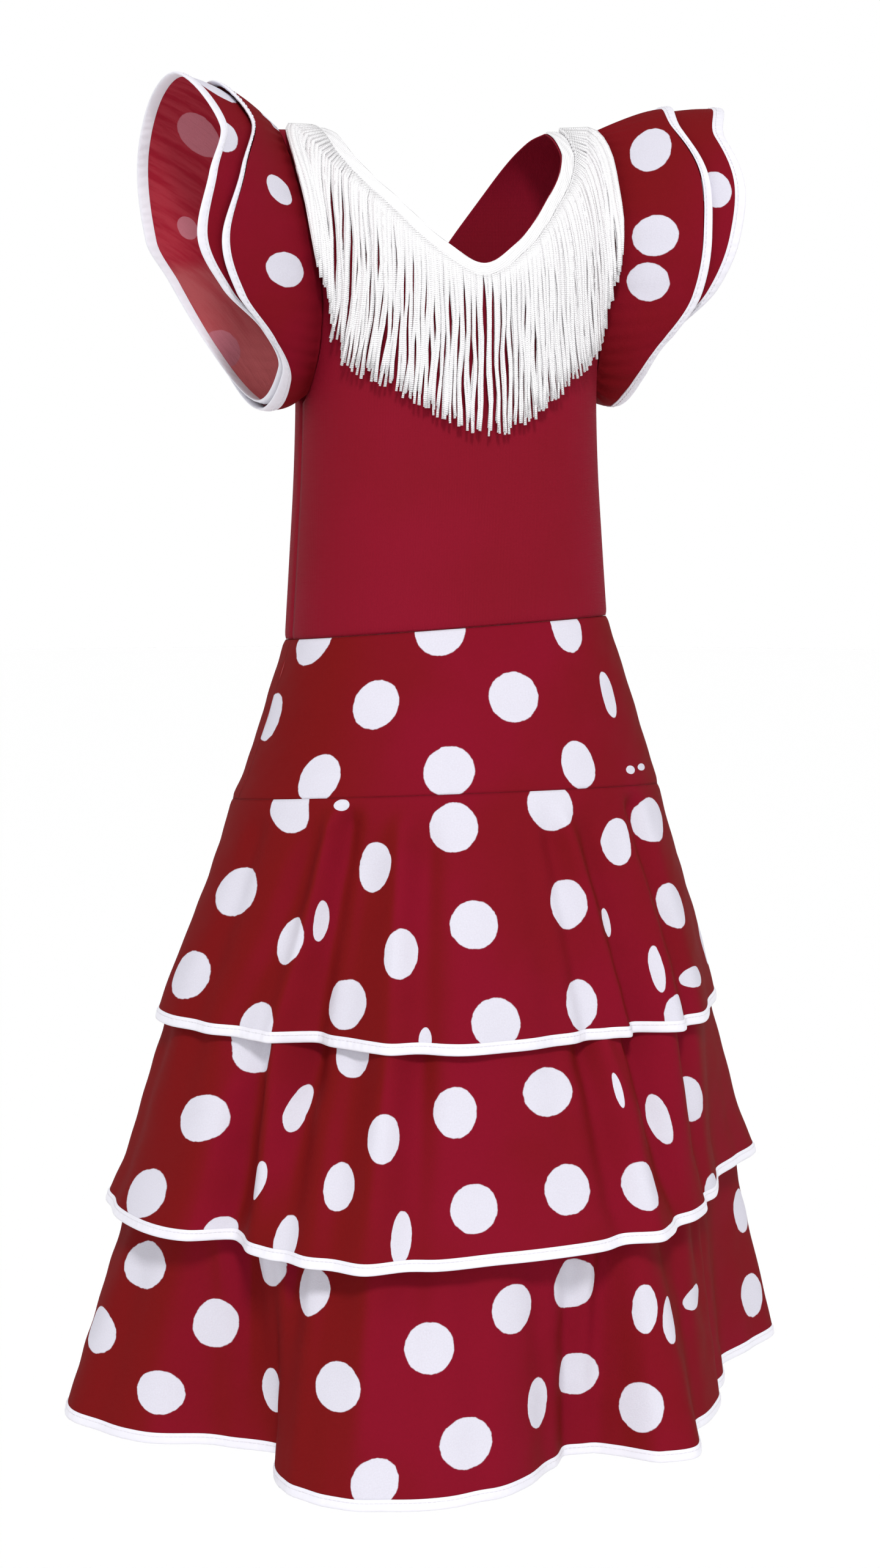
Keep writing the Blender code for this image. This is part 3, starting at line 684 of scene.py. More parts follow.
def bodicePlace(reach, drop, side, beyond=0.0):
    # Points on the bodice with their outward normals, square to two short steps; a place
    # beyond the panel's edge lies straight on outwards from it
    here = bodicePoints(reach, drop, side)
    across = bodicePoints(reach + bodice["probe"], drop, side) - here
    down = bodicePoints(reach, drop + bodice["probe"], side) - here
    here[..., 0] += beyond
    across[..., 0] += np.abs(beyond)
    return here, unit(np.cross(down, across)) * -side


def neckCurve(neck):
    # Fine reaches and drops along half a neckline, level at the centre
    (reach, fall), last = neck[1], neck[-1][0]
    reaches = np.linspace(0, last, bodice["neckSamples"])
    return reaches, fromTable([(-reach, fall)] + neck, reaches)


def neckLine(neck):
    # A whole neckline of reaches and drops, with its normals on the flat panel
    half = np.stack(neckCurve(neck), axis=-1)
    line = np.concatenate((half[:0:-1] * (-1, 1), half))
    along = unit(np.gradient(line, axis=0))
    return line, np.stack((-along[:, 1], along[:, 0]), axis=-1)


def bodicePanel(name, neck, side):
    # Columns leave the neckline at even steps of its length, and the shoulder seam at even
    # angles; each runs at its own share of the panel's reach down to the hip.
    reach, fall = neckCurve(neck)
    run = runAlong(np.stack((reach, fall), axis=-1))
    spots = np.linspace(0, run[-1], bodice["neckColumns"])
    neckShare = np.interp(spots, run, reach / edgeReach(fall))
    neckTop = np.interp(spots, run, fall)
    corner = math.asin(neckShare[-1])
    shoulder = np.sin(np.linspace(corner, math.pi / 2, bodice["shoulderColumns"] + 1)[1:])
    share = np.concatenate((neckShare, shoulder))
    top = np.concatenate((neckTop, np.zeros(len(shoulder))))
    share = np.concatenate((-share[:0:-1], share))
    top = np.concatenate((top[:0:-1], top))
    upwards = denseEnds(bodice["rows"])[:, None]
    drop = bodice["hipDrop"] + (top - bodice["hipDrop"]) * upwards
    outer = bodicePoints(share * edgeReach(drop), drop, side)
    outer[0, :, 2] += cloth["seamGap"] / 2
    normals = surfaceNormals(outer, closed=False) * -side
    normals[0, :, 2] = 0
    sewn = np.abs(outer[..., 1] - bodiceSize("middle", drop)) < cloth["seamGap"]
    normals[sewn] *= (1, 0, 0)
    normals[sewn & (drop < cloth["seamGap"])] = (0, 0, 1)
    normals = unit(normals)
    fromHip = bodice["hipDrop"] - drop
    fromSide = math.pi / 2 - np.arcsin(np.clip(np.abs(share), 0, 1)) + 0 * drop
    below = easeBetween(drop - bodice["underarmDrop"], -bodice["underarmFade"], 0)
    dip = cloth["seamDip"] * (nearSeam(fromHip) + nearSeam(fromSide * bodice["sideReach"]) * below)
    outer = outer - normals * dip[..., None]
    inner = outer - cloth["thickness"] * normals
    across = runAlong(outer[..., :2], 1)
    across = across - across[:, [across.shape[1] // 2]]
    uv = np.stack((across, -drop + 0 * across), axis=-1)
    return shellPiece(name, outer, inner, False, uv, jersey)


frontPanel = bodicePanel("bodiceFront", bodice["frontNeck"], -1)
backPanel = bodicePanel("bodiceBack", bodice["backNeck"], 1)


def neckStitches():
    # The back neckline's turned edge is stitched down at one distance from it
    line, outwards = neckLine(bodice["backNeck"])
    flat = line + outwards * bodice["hemStitch"]
    flat = flat[flat[:, 1] > bodice["firstStitch"]]
    here, normals = bodicePlace(flat[:, 0], flat[:, 1], 1)
    part = stitchRow("backNeckStitches", here, normals, False, redThread)
    rideRoot(part)
    return part


neckThreads = neckStitches()
print("bodice made")


skirt = {
    "columns": 1080, "rows": 46, "yokeColumns": 180, "yokeRows": 34,
    "hemOverlap": 0.0045,        # a tier hangs this far inside the hem above it
    "ripple": 0.0006,            # soft unevenness of the cloth
    "rippleFade": 0.03, "rippleScale": 25, "hemFade": 0.02,
    "backReach": 0.2,            # about how far back the tiers' seam up the back lies
    "patternCentre": -16,        # degrees at which a flat pattern is cut level
}
yoke = {
    "rings": [    # height, halfWidth, halfDepth, power, tilt, slant
        (-0.3455, 0.1140, 0.0900, 2.40, 0.110, 0.042),
        (-0.3850, 0.1275, 0.1025, 2.30, 0.120, 0.042),
        (-0.4250, 0.1405, 0.1150, 2.20, 0.132, 0.030),
        (-0.4630, 0.1535, 0.1280, 2.15, 0.144, -0.010)],
    "print": {"turn": 45.0, "offset": (0.464, -0.470), "charted": [(-95, 76), (248, 275)],
        "dots": [    # degrees, share, width and height in mm
            (-41.6, 0.41, 32, 34), (7.9, 0.43, 36, 35), (-16.9, 0.85, 35, 35),
            (27.2, 0.86, 28, 34), (-55.6, 0.86, 32, 35), (-72, 0, 39, 38), (-20.1, 0, 35, 36),
            (36.6, 0.05, 26, 35), (48.2, 0.47, 15, 33), (-86.5, 0.45, 36, 35),
            (48.8, 0.91, 12, 6), (56, 0.9, 14, 5)]},
    "flat": (0.45, 0.13), "area": 0.048, "rippleFade": 0.02, "rippleScale": 30,
}
tiers = {
    "tier1": {
        "node": "tier_1",
        "rings": [    # height, reach, folds, tilt, slant
            (-0.5015, 0.1545, 0.20, 0.120, 0.005), (-0.5450, 0.1700, 0.50, 0.095, 0.008),
            (-0.5850, 0.1835, 0.78, 0.070, -0.010), (-0.6215, 0.1935, 1.00, 0.050, -0.025)],
        "hem": [      # degrees from the centre front, reach
            (-90, 0.214), (-64, 0.196), (-49, 0.178), (-33, 0.189), (-16, 0.190),
            (-4, 0.180), (20, 0.167), (34, 0.170), (43, 0.191), (53, 0.193), (68, 0.191),
            (92, 0.210), (117, 0.186), (140, 0.207), (162, 0.188), (184, 0.207),
            (208, 0.188), (230, 0.208), (250, 0.196)],
        "print": {"turn": 25.5, "offset": (0.085, 0.364), "charted": [(-100, 84)],
            "dots": [
                (-15.7, 0.14, 33, 34), (-36.5, 0.29, 25, 34), (-75.7, 0.39, 46, 35),
                (-11, 0.51, 34, 33), (16.4, 0.47, 29, 34), (-27.9, 0.61, 25, 34),
                (-40.7, 0.84, 33, 34), (-7, 0.91, 37, 34), (16.9, 0.88, 29, 35),
                (-82.6, 0.77, 45, 35), (35.4, 0.25, 26, 33), (14.6, 0.07, 35, 34),
                (52.3, 0.53, 32, 33), (53.6, 0.17, 42, 32), (-56.2, 0.57, 26, 33),
                (-49.3, 0.49, 11, 28), (-61, 0.98, 31, 35), (-63.2, 0.04, 35, 34),
                (39.3, 0.76, 11, 33), (-47.2, 0.03, 11, 8), (29.5, 0.56, 7, 20),
                (-22.3, 0.98, 9, 17), (54.3, 0.83, 36, 15), (42.4, 0.97, 26, 30),
                (86, 0.40, 35, 35), (83, 0.76, 35, 35)]},
        "creases": [      # degrees, width, depth in mm, top, bottom, slope
            (-49.5, 2.8, -6.5, 0.12, 1.0, -8), (-45.0, 3.2, 7.0, 0.12, 1.0, -4),
            (-56.5, 4.0, 5.0, 0.3, 1.0, -14), (-39, 5.0, 4.5, 0.30, 0.9, 0),
            (-30, 3.3, -4.5, 0.2, 1.0, 1), (-23, 4.0, 5.0, 0.25, 1.0, 0),
            (6, 4.0, 2.0, 0.3, 1.0, 2), (14, 3.2, 4.5, 0.25, 1.0, 6),
            (20, 3.0, -6.0, 0.25, 1.0, 13), (27, 3.5, 6.0, 0.3, 1.0, 10),
            (46, 3.5, 8.0, 0.1, 1.0, 3), (-74, 4.0, 4.0, 0.2, 1.0, -4),
            (100, 5.0, 6.0, 0.1, 1.0, 2), (135, 5.0, 6.0, 0.1, 1.0, 2),
            (175, 5.0, 6.0, 0.1, 1.0, -2), (215, 5.0, 6.0, 0.1, 1.0, -2),
            (-120, 4.0, 6.0, 0.1, 1.0, 0)],
        "flat": (1.28, 0.17), "area": 0.175,
    },
    "tier2": {
        "node": "tier_2",
        "rings": [
            (-0.6230, 0.1880, 0.12, 0.050, -0.008), (-0.6650, 0.2000, 0.40, 0.040, 0.0),
            (-0.7135, 0.2130, 0.72, 0.030, 0.0), (-0.7515, 0.2275, 1.00, 0.020, 0.0)],
        "hem": [
            (-93, 0.252), (-78, 0.249), (-67, 0.239), (-61, 0.214), (-54, 0.221),
            (-47, 0.237), (-36, 0.241), (-22, 0.231), (-7, 0.216), (7, 0.213),
            (26, 0.215), (42, 0.207), (70, 0.199), (81, 0.220), (91, 0.248),
            (112, 0.214), (132, 0.248), (154, 0.214), (176, 0.249), (200, 0.215),
            (222, 0.248), (244, 0.224)],
        "print": {"turn": 19.5, "offset": (0.142, 0.204), "charted": [(-100, 54), (64, 93)],
            "dots": [
                (-69.9, 0.56, 44, 33), (-79, 0.88, 47, 36), (-29.3, 0.55, 25, 33),
                (-16.1, 0.47, 30, 34), (5, 0.43, 40, 33), (-12.7, 0.8, 34, 33),
                (6.7, 0.77, 36, 34), (23.5, 0.8, 32, 34), (-37.4, 0.72, 24, 33),
                (-50.5, 0.49, 17, 34), (35.6, 0.61, 18, 35), (-25.6, 0.9, 15, 36),
                (50.8, 0.59, 34, 33), (-38.5, 0.26, 28, 33), (-62.3, 0.28, 42, 34),
                (-54.9, 0.74, 13, 26), (22.5, 0.46, 6, 25), (-63.5, 1, 25, 20),
                (-46.4, 0.95, 21, 34)]},
        "creases": [
            (-56, 3.0, -6.5, 0.3, 1.0, 3), (-49, 3.5, 7.0, 0.35, 1.0, 5),
            (-61, 4.0, 5.5, 0.3, 1.0, -4), (-37, 3.5, 4.0, 0.35, 1.0, 0),
            (-30, 3.3, -4.5, 0.3, 1.0, -1), (-24, 3.5, 4.0, 0.3, 1.0, 0),
            (17, 3.5, 6.0, 0.3, 1.0, 1), (23, 3.0, -5.0, 0.3, 1.0, 2),
            (32, 3.5, 6.5, 0.3, 1.0, 3), (50, 3.5, 6.0, 0.3, 1.0, 2),
            (-90, 4.0, 4.0, 0.3, 1.0, -3), (102, 4.0, 6.0, 0.3, 1.0, 2),
            (145, 4.0, 6.0, 0.3, 1.0, 0), (188, 4.0, 6.0, 0.3, 1.0, 0),
            (232, 4.0, 6.0, 0.3, 1.0, 0)],
        "flat": (1.53, 0.18), "area": 0.224,
    },
    "tier3": {
        "node": "tier_3",
        "rings": [
            (-0.7580, 0.2115, 0.15, 0.020, 0.0), (-0.8010, 0.2180, 0.45, 0.015, 0.0),
            (-0.8540, 0.2280, 0.76, 0.010, 0.0), (-0.9020, 0.2370, 1.00, 0.000, 0.0)],
        "hem": [
            (-91, 0.278), (-76, 0.246), (-65, 0.204), (-54, 0.188), (-45, 0.243),
            (-36, 0.255), (-25, 0.252), (-11, 0.235), (-3, 0.214), (4, 0.192),
            (13, 0.171), (19, 0.190), (23, 0.219), (29, 0.231), (36, 0.215),
            (46, 0.204), (76, 0.200), (86, 0.234), (93, 0.265), (107, 0.247),
            (121, 0.211), (140, 0.263), (161, 0.216), (181, 0.265), (202, 0.211),
            (222, 0.263), (244, 0.226)],
        "print": {"turn": 22.5, "offset": (-0.242, 0.110), "charted": [(-100, 52), (62, 96)],
            "dots": [
                (-81.2, 0.41, 48, 34), (-67.3, 0.59, 34, 35), (-88.7, 0.69, 44, 32),
                (-74.1, 0.84, 37, 31), (-42.8, 0.35, 33, 34), (-20.7, 0.53, 35, 34),
                (-35.4, 0.65, 37, 33), (-14.6, 0.83, 39, 34), (-5.1, 0.43, 35, 33),
                (-28.5, 0.94, 32, 33), (9.6, 0.39, 39, 36), (23.1, 0.51, 20, 34),
                (11.4, 0.73, 36, 30), (21.2, 0.84, 33, 35), (-0.1, 0.77, 25, 34),
                (-53.9, 0.28, 40, 38), (-55.5, 0.79, 20, 32), (28.8, 0.57, 18, 32),
                (45.2, 0.58, 37, 16), (88.5, 0.49, 32, 35), (87.9, 0.82, 35, 34)]},
        "creases": [
            (-68, 3.5, 5.0, 0.3, 1.0, -2), (-82, 3.5, 4.0, 0.3, 1.0, -3),
            (-40, 3.0, 3.0, 0.3, 1.0, 0), (-50.5, 2.6, -5.5, 0.12, 1.0, 0),
            (-45.5, 2.4, 5.0, 0.12, 1.0, 0), (8.5, 2.4, 4.0, 0.2, 1.0, 0),
            (13.5, 2.6, -5.0, 0.2, 1.0, 0), (-31, 3.0, -2.5, 0.3, 1.0, 0),
            (-14, 3.0, 2.5, 0.3, 1.0, 2), (0, 3.0, 3.0, 0.3, 1.0, 2),
            (20, 3.0, -4.5, 0.3, 1.0, 0), (38, 3.5, 6.0, 0.3, 1.0, 2),
            (60, 4.0, 6.0, 0.3, 1.0, 2), (110, 4.0, 6.0, 0.3, 1.0, 0),
            (160, 4.0, 6.0, 0.3, 1.0, 0), (205, 4.0, 6.0, 0.3, 1.0, 0),
            (238, 4.0, 6.0, 0.3, 1.0, 0)],
        "flat": (1.76, 0.19), "area": 0.285,
    },
}


def ringPoints(turn, reach, height, tilt, slant):
    # The height rises by the tilt towards the front and by the slant towards +X
    side = reach * np.sin(turn)
    depth = -reach * np.cos(turn)
    return np.stack((side, depth, height - tilt * depth + slant * side), axis=-1)


def ovalReach(turn, halfWidth, halfDepth, power):
    across = (np.abs(np.sin(turn)) / halfWidth) ** power
    along = (np.abs(np.cos(turn)) / halfDepth) ** power
    return (across + along) ** (-1 / power)


def ringInset(rings, distance):
    # A ring moved level towards the skirt's inside, square to itself
    along = np.roll(rings, -1, axis=-2) - np.roll(rings, 1, axis=-2)
    inwards = np.stack((-along[..., 1], along[..., 0], 0 * along[..., 0]), axis=-1)
    return rings + distance * unit(inwards)


def creaseDepth(creases, turn, share):
    # Each crease is a soft valley at its degrees, as deep as its row says between its ends,
    # or a ridge where that is below zero
    depth = np.zeros(np.broadcast_shapes(turn.shape, share.shape))
    for degrees, width, deep, top, bottom, slope in creases:
        away = np.degrees(turn) - degrees - slope * (share - top)
        away = (away + 180) % 360 - 180
        ends = easeBetween(share, top - 0.25, top) * easeBetween(share, bottom + 0.25, bottom)
        depth = depth + deep / 1000 * np.exp(-(away / width) ** 2) * ends
    return depth


def softRipple(turn, run, seed, shape):
    # Three crossed waves with no straight line between them, which fade at both ends
    down = run * shape["rippleScale"]
    waves = (np.sin(9 * turn + 3.1 * down + seed) * np.sin(4.3 * down + 2.0 * seed)
             + 0.6 * np.sin(17 * turn - 5.2 * down + 3.3 * seed)
             + 0.35 * np.sin(31 * turn + 7.9 * down + 1.7 * seed)) / 2
    fade = (easeBetween(run, 0, shape["rippleFade"])
            * easeBetween(run[-1] - run, 0, shape["rippleFade"]))
    return skirt["ripple"] * fade * (waves - 1)


def yokePanel(name, node, middle, seed):
    # Squared ovals that grow down to the first tier; both ends are drawn in by their seams
    steps = denseEnds(skirt["yokeRows"], 0.5)
    place = steps[:, None] * (len(yoke["rings"]) - 1)
    height, wide, deep, power, tilt, slant = betweenRings(yoke["rings"], place)
    turn = middle + np.linspace(-math.pi / 2, math.pi / 2, skirt["yokeColumns"] + 1)
    outer = ringPoints(turn, ovalReach(turn, wide, deep, power), height, tilt, slant)
    outer[0, :, 2] -= cloth["seamGap"] / 2
    outer[-1, :, 2] += cloth["seamGap"] / 2
    outer[:, (0, -1), 1] = -math.cos(middle) * cloth["seamGap"] / 2
    normals = -surfaceNormals(outer, closed=False)
    run = runAlong(outer)
    ends = nearSeam(run) + nearSeam(run[-1] - run)
    ripple = softRipple(turn, run, seed, yoke)
    outer = outer + normals * (ripple - cloth["seamDip"] * ends)[..., None]
    outer[:, (0, -1), 1] = -math.cos(middle) * cloth["seamGap"] / 2
    inner = outer - cloth["thickness"] * normals
    inner[:, (0, -1), 1] = outer[:, (0, -1), 1]
    centre = round((0.5 + skirt["patternCentre"] / 180) * skirt["yokeColumns"])
    piece = dottedPiece(name, outer, inner, False, centre, turn, steps, yoke["print"],
                        paintedSideShade(normals))
    finishSheet(piece, node)


def hemFolds(hem, turn):
    folds = fromTable(hem, np.degrees(turn), period=360.0)
    return folds - folds.mean()


def tierPoints(tier, turn, place):
    # place runs from 0 at the top seam to the number of rings at the hem. The reach there is
    # the ring's mean, its share of the hem's folds, and the rest of the seam's own shape.
    top = tier["top"]
    seamShape = top["reach"] - top["reach"].mean()
    folds = hemFolds(tier["hem"], turn)
    first = (top["height"], top["reach"].mean(), 0.0, top["tilt"], top["slant"])
    height, mean, share, tilt, slant = betweenRings([first] + tier["rings"], place)
    reach = mean + folds * share + seamShape * (1 - share)
    if tier["hemAbove"] is not None:
        _, mean, share, _, _ = tier["rings"][0]
        second = mean + folds * share + seamShape * (1 - share)
        excess = np.maximum(0, second - (tier["hemAbove"] - skirt["hemOverlap"]))
        reach = reach - excess * np.clip(1 - np.abs(place - 1), 0, 1)
    crease = creaseDepth(tier["creases"], turn, place / len(tier["rings"]))
    reach = reach - crease * easeBetween(place, 0, 0.5)
    return ringPoints(turn, reach, height, tilt, slant)


def tierRing(tier, turn, place):
    return tierPoints(tier, turn, np.full((1, len(turn)), float(place)))[0]


def tierPiece(name, tier, turn, seed):
    last = len(tier["rings"])
    edge = tierRing(tier, turn, last)
    height = np.linalg.norm(edge - tierRing(tier, turn, last - 1), axis=-1)
    clothEnd = last - (cloth["bindingWidth"] - cloth["bindingGrip"]) / height
    steps = denseEnds(skirt["rows"])
    place = steps[:, None] * clothEnd
    outer = tierPoints(tier, turn, place)
    normals = -surfaceNormals(outer, closed=True)
    run = runAlong(outer)
    ripple = softRipple(turn, run, seed, skirt)
    fromBack = (math.pi - np.abs(turn)) * skirt["backReach"]
    dip = nearSeam(run) + nearSeam(fromBack)
    outer = outer + normals * (ripple - cloth["seamDip"] * dip)[..., None]
    outer, inner = clothFaces(outer, normals, easeBetween(run[-1] - run, skirt["hemFade"], 0.0))
    centre = round((0.5 + skirt["patternCentre"] / 360) * outer.shape[1])
    piece = dottedPiece(name, outer, inner, True, centre, turn[::2], steps, tier["print"],
                        paintedSideShade(normals[:, ::2]))
    bindingTop = tierPoints(tier, turn, last - cloth["bindingWidth"] / height[None])[0]
    edgeNormals = -surfaceNormals(np.stack((bindingTop, edge)), closed=True)[1]
    return piece, bindingPiece(name, tier["node"], bindingTop, edge, edgeNormals, seed)


def makeSkirt():
    yokePanel("yokeFront", "yoke_front", 0.0, 1.0)
    yokePanel("yokeBack", "yoke_back", math.pi, 2.0)
    turn = np.linspace(-math.pi, math.pi, skirt["columns"], endpoint=False)
    height, halfWidth, halfDepth, power, tilt, slant = yoke["rings"][-1]
    top = {"height": height - cloth["seamGap"] / 2, "tilt": tilt, "slant": slant,
           "reach": ovalReach(turn, halfWidth, halfDepth, power)}
    hemAbove = None
    for number, (name, tier) in enumerate(tiers.items()):
        tier.update(top=top, hemAbove=hemAbove)
        piece, trims = tierPiece(name, tier, turn, 1.3 + number)
        finishSheet(piece, tier["node"])
        last = len(tier["rings"])
        seam = ringInset(tierRing(tier, turn, last - 1), cloth["wall"] + cloth["seamGap"])
        hem = tierRing(tier, turn, last)
        hemAbove = np.hypot(hem[:, 0], hem[:, 1])
        seamHeight, _, _, seamTilt, seamSlant = tier["rings"][-2]
        top = {"height": seamHeight, "tilt": seamTilt, "slant": seamSlant,
               "reach": np.hypot(seam[:, 0], seam[:, 1])}
    print("skirt made")


makeSkirt()


flounce = {
    "columns": 480, "rows": 40, "armholeGap": 0.0006, "layerGap": 0.0005, "spread": 0.0035,
    "arch": 0.005, "centre": -0.075, "gathers": 44, "gatherDepth": 0.0006, "gatherFade": 0.022,
    "sideShadeShare": 0.7,          # how much of the painted side shade the flounces take
    "rootFade": 0.004, "rimFade": 0.015, "rimProbe": 0.020,
}
flounces = {
    "Left": {
        "hand": -1,
        "rim": [      # degrees from the top to the front, out, fromMiddle, shortShare
            (0, 0.193, 0.111, 0.64), (35, 0.173, 0.090, 0.56), (62, 0.187, 0.088, 0.70),
            (88, 0.197, 0.083, 0.83), (115, 0.178, 0.078, 0.89), (137, 0.148, 0.082, 0.91),
            (155, 0.132, 0.095, 0.92), (180, 0.137, 0.110, 0.92), (216, 0.159, 0.090, 0.88),
            (250, 0.182, 0.078, 0.82), (270, 0.197, 0.075, 0.76), (315, 0.204, 0.088, 0.68),
            (340, 0.200, 0.104, 0.65)],
        "Long": {
            "turn": -11.5, "offset": (-0.140, -0.185), "charted": [(-180, -10), (66, 180)],
            "dots": [(-39.9, 0.59, 30, 30), (-84.4, 0.72, 17, 14), (-143.6, 0.92, 34, 28)],
            "flat": (0.65, 0.09), "area": 0.036},
        "Short": {
            "turn": 38, "offset": (-0.555, 0.124), "charted": [(10, 180)],
            "dots": [(72.2, 0.43, 21, 28), (102.5, 0.44, 25, 35)],
            "flat": (0.63, 0.07), "area": 0.028},
    },
    "Right": {
        "hand": 1,
        "rim": [
            (0, 0.205, 0.094, 0.60), (35, 0.189, 0.086, 0.66), (62, 0.192, 0.086, 0.74),
            (88, 0.187, 0.083, 0.78), (115, 0.175, 0.080, 0.84), (137, 0.152, 0.083, 0.90),
            (155, 0.137, 0.095, 0.92), (180, 0.130, 0.110, 0.92), (216, 0.152, 0.091, 0.88),
            (250, 0.180, 0.079, 0.80), (270, 0.190, 0.077, 0.74), (315, 0.201, 0.088, 0.64),
            (340, 0.205, 0.094, 0.60)],
        "Long": {
            "turn": 25, "offset": (-0.095, 0.027), "charted": [(10, 180)],
            "dots": [(67.8, 0.83, 29, 23)],
            "flat": (0.63, 0.08), "area": 0.035},
        "Short": {
            "turn": 25, "offset": (-0.617, -0.189), "charted": [(10, 180)],
            "dots": [(50.2, 0.57, 40, 33), (88.8, 0.51, 30, 33), (106.9, 0.47, 27, 30)],
            "flat": (0.60, 0.06), "area": 0.0265},
    },
}


def armholePoints(angle, hand):
    # The armhole's edge, by the angle from the shoulder towards the front
    drop = bodice["underarmDrop"] * (1 - np.cos(angle)) / 2
    side = np.where(np.sin(angle) > 0, -1.0, 1.0)
    points = bodicePoints(edgeReach(drop), drop, side)
    points[..., 0] = hand * (points[..., 0] + flounce["armholeGap"])
    return points


def rimSize(rim, column, angle):
    return fromTable(rim, np.degrees(angle) % 360, column, 360.0)


def flouncePoints(angle, share, rim, hand):
    # From the armhole straight out to the rim, a little bowed away from the armhole's middle
    out = rimSize(rim, 1, angle)
    fromMiddle = rimSize(rim, 2, angle)
    away = np.stack((0 * angle, -np.sin(angle), np.cos(angle)), axis=-1)
    edge = away * fromMiddle[..., None]
    edge = edge + np.stack((hand * out, 0 * out, flounce["centre"] + 0 * out), axis=-1)
    root = armholePoints(angle, hand)
    bow = flounce["arch"] * np.sin(math.pi * share)
    return root + (edge - root) * share[..., None] + away * bow[..., None]


def flounceLayer(name, node, layer, spec, reach, lift, angle, length):
    hand, rim = spec["hand"], spec["rim"]

    def lay(share):
        # The long flounce's outer face, or the short one's that far off it
        grid = flouncePoints(angle + 0 * share, share, rim, hand)
        normals = surfaceNormals(grid, closed=True) * hand
        normals[0, :, 0] = 0
        normals = unit(normals)
        gap = flounce["layerGap"] + cloth["wall"] + flounce["spread"] * share
        return grid + normals * (lift * gap)[..., None], normals

    clothReach = reach - (cloth["bindingWidth"] - cloth["bindingGrip"]) / length
    steps = denseEnds(flounce["rows"])[:, None]
    outer, normals = lay(steps * clothReach)
    fromRoot = steps * clothReach * length
    fade = np.exp(-fromRoot / flounce["gatherFade"]) * easeBetween(fromRoot, 0, flounce["rootFade"])
    gathers = np.sin(flounce["gathers"] * angle + 1.8 * np.sin(5 * angle + lift))
    outer = outer - normals * (flounce["gatherDepth"] * fade * (1 + gathers))[..., None]
    outer, inner = clothFaces(outer, normals, easeBetween(
        fromRoot, fromRoot[-1] - flounce["rimFade"], fromRoot[-1]))
    piece = dottedPiece(name, outer, inner, True, len(angle) // 4, angle[::2], steps[:, 0],
                        spec[layer], flounce["sideShadeShare"] * paintedSideShade(normals[:, ::2]))
    ends, _ = lay(np.stack((reach - cloth["bindingWidth"] / length, reach)))
    edgeNormals = lay(np.stack((reach - flounce["rimProbe"] / length, reach)))[1][1]
    return piece, bindingPiece(name, node, ends[0], ends[1], edgeNormals, 1.0 + lift)


def makeFlounces():
    angle = np.linspace(-math.pi, math.pi, flounce["columns"], endpoint=False)
    for name, spec in flounces.items():
        hand = spec["hand"]
        length = np.linalg.norm(flouncePoints(angle, np.ones_like(angle), spec["rim"], hand)
                                - armholePoints(angle, hand), axis=-1)
        short = rimSize(spec["rim"], 3, angle)
        for layer, reach, lift in (("Long", np.ones_like(short), 0.0), ("Short", short, 1.0)):
            node = "sleeve_" + name.lower() + "_" + layer.lower()
            piece, trims = flounceLayer("sleeve" + name + layer, node, layer, spec, reach,
                                        lift, angle, length)
            finishSheet(piece, node)
    print("flounces made")


makeFlounces()


fringe = {
    "strands": 340, "unevenLength": 0.006, "rings": 12, "ringCrowding": 1.15, "crowding": 0.8,
    "lengths": [     # place along the tape, length
        (-1.0, 0.114), (-0.75, 0.122), (-0.5, 0.110), (-0.25, 0.104), (0.0, 0.102),
        (0.12, 0.107), (0.35, 0.106), (0.7, 0.113), (1.0, 0.118)],
    "width": 0.0020, "thickness": 0.0013, "taper": 0.25, "lift": 0.0034, "layer": 0.0013,
    "fan": 0.30, "ease": 0.5, "strapEase": 0.2, "drapeEdge": 0.93, "clump": 4.6,
    "clumpUneven": 0.9, "clumpPull": 0.70, "clumpStart": (-0.1, 0.30), "strapWidth": 1.9,
    "wave": 0.0008, "ownPhase": 0.3, "seed": 7, "stray": 0.0012, "strapDrop": 0.07,
    "widths": (0.8, 1.25), "tones": (0.75, 1.0),
    "tuck": 0.002,               # how far a strand starts up behind the tape's edge
    "tapeInset": 0.0004, "tapeWidth": 0.010, "tapeLift": 0.0007, "tapeThickness": 0.0012,
    "tapeColumns": 420, "tapeRows": 13, "tapeRidges": 3, "tapePlies": 40,
}


def strandTips(line):
    # How far out strands from a line of roots end, as shares of the panel's reach
    high = np.clip(1 - line[:, 1] / bodice["frontNeck"][0][1], 0, 1)
    root = line[:, 0] / edgeReach(line[:, 1])
    return root + np.sign(line[:, 0]) * fringe["fan"] * high


def tapeEdges(count):
    # The tape's upper and lower edge laid flat, reach against drop, with their points where
    # the strands' tips come out evenly
    line, outwards = neckLine(bodice["frontNeck"])
    edges = np.stack((line + outwards * fringe["tapeInset"],
                      line + outwards * (fringe["tapeInset"] + fringe["tapeWidth"])))
    edges[..., 1] = np.maximum(edges[..., 1], 2 * cloth["seamGap"])
    tips = strandTips(edges[1])
    even = np.linspace(-1, 1, count)
    crowded = np.sign(even) * np.abs(even) ** fringe["crowding"] * tips[-1]
    return np.stack([sampleLine(edge, tips, crowded) for edge in edges])


def laidOnBodice(flat, lift):
    # Flat places put on the front of the bodice and moved out from it. Near the armhole they
    # go straight on outwards, over the flounces' roots.
    drop = np.maximum(flat[..., 1], bodice["probe"])
    limit = fringe["drapeEdge"] * edgeReach(drop)
    reach = np.clip(flat[..., 0], -limit, limit)
    here, outwards = bodicePlace(reach, drop, -1, flat[..., 0] - reach)
    return here + outwards * lift[..., None], outwards


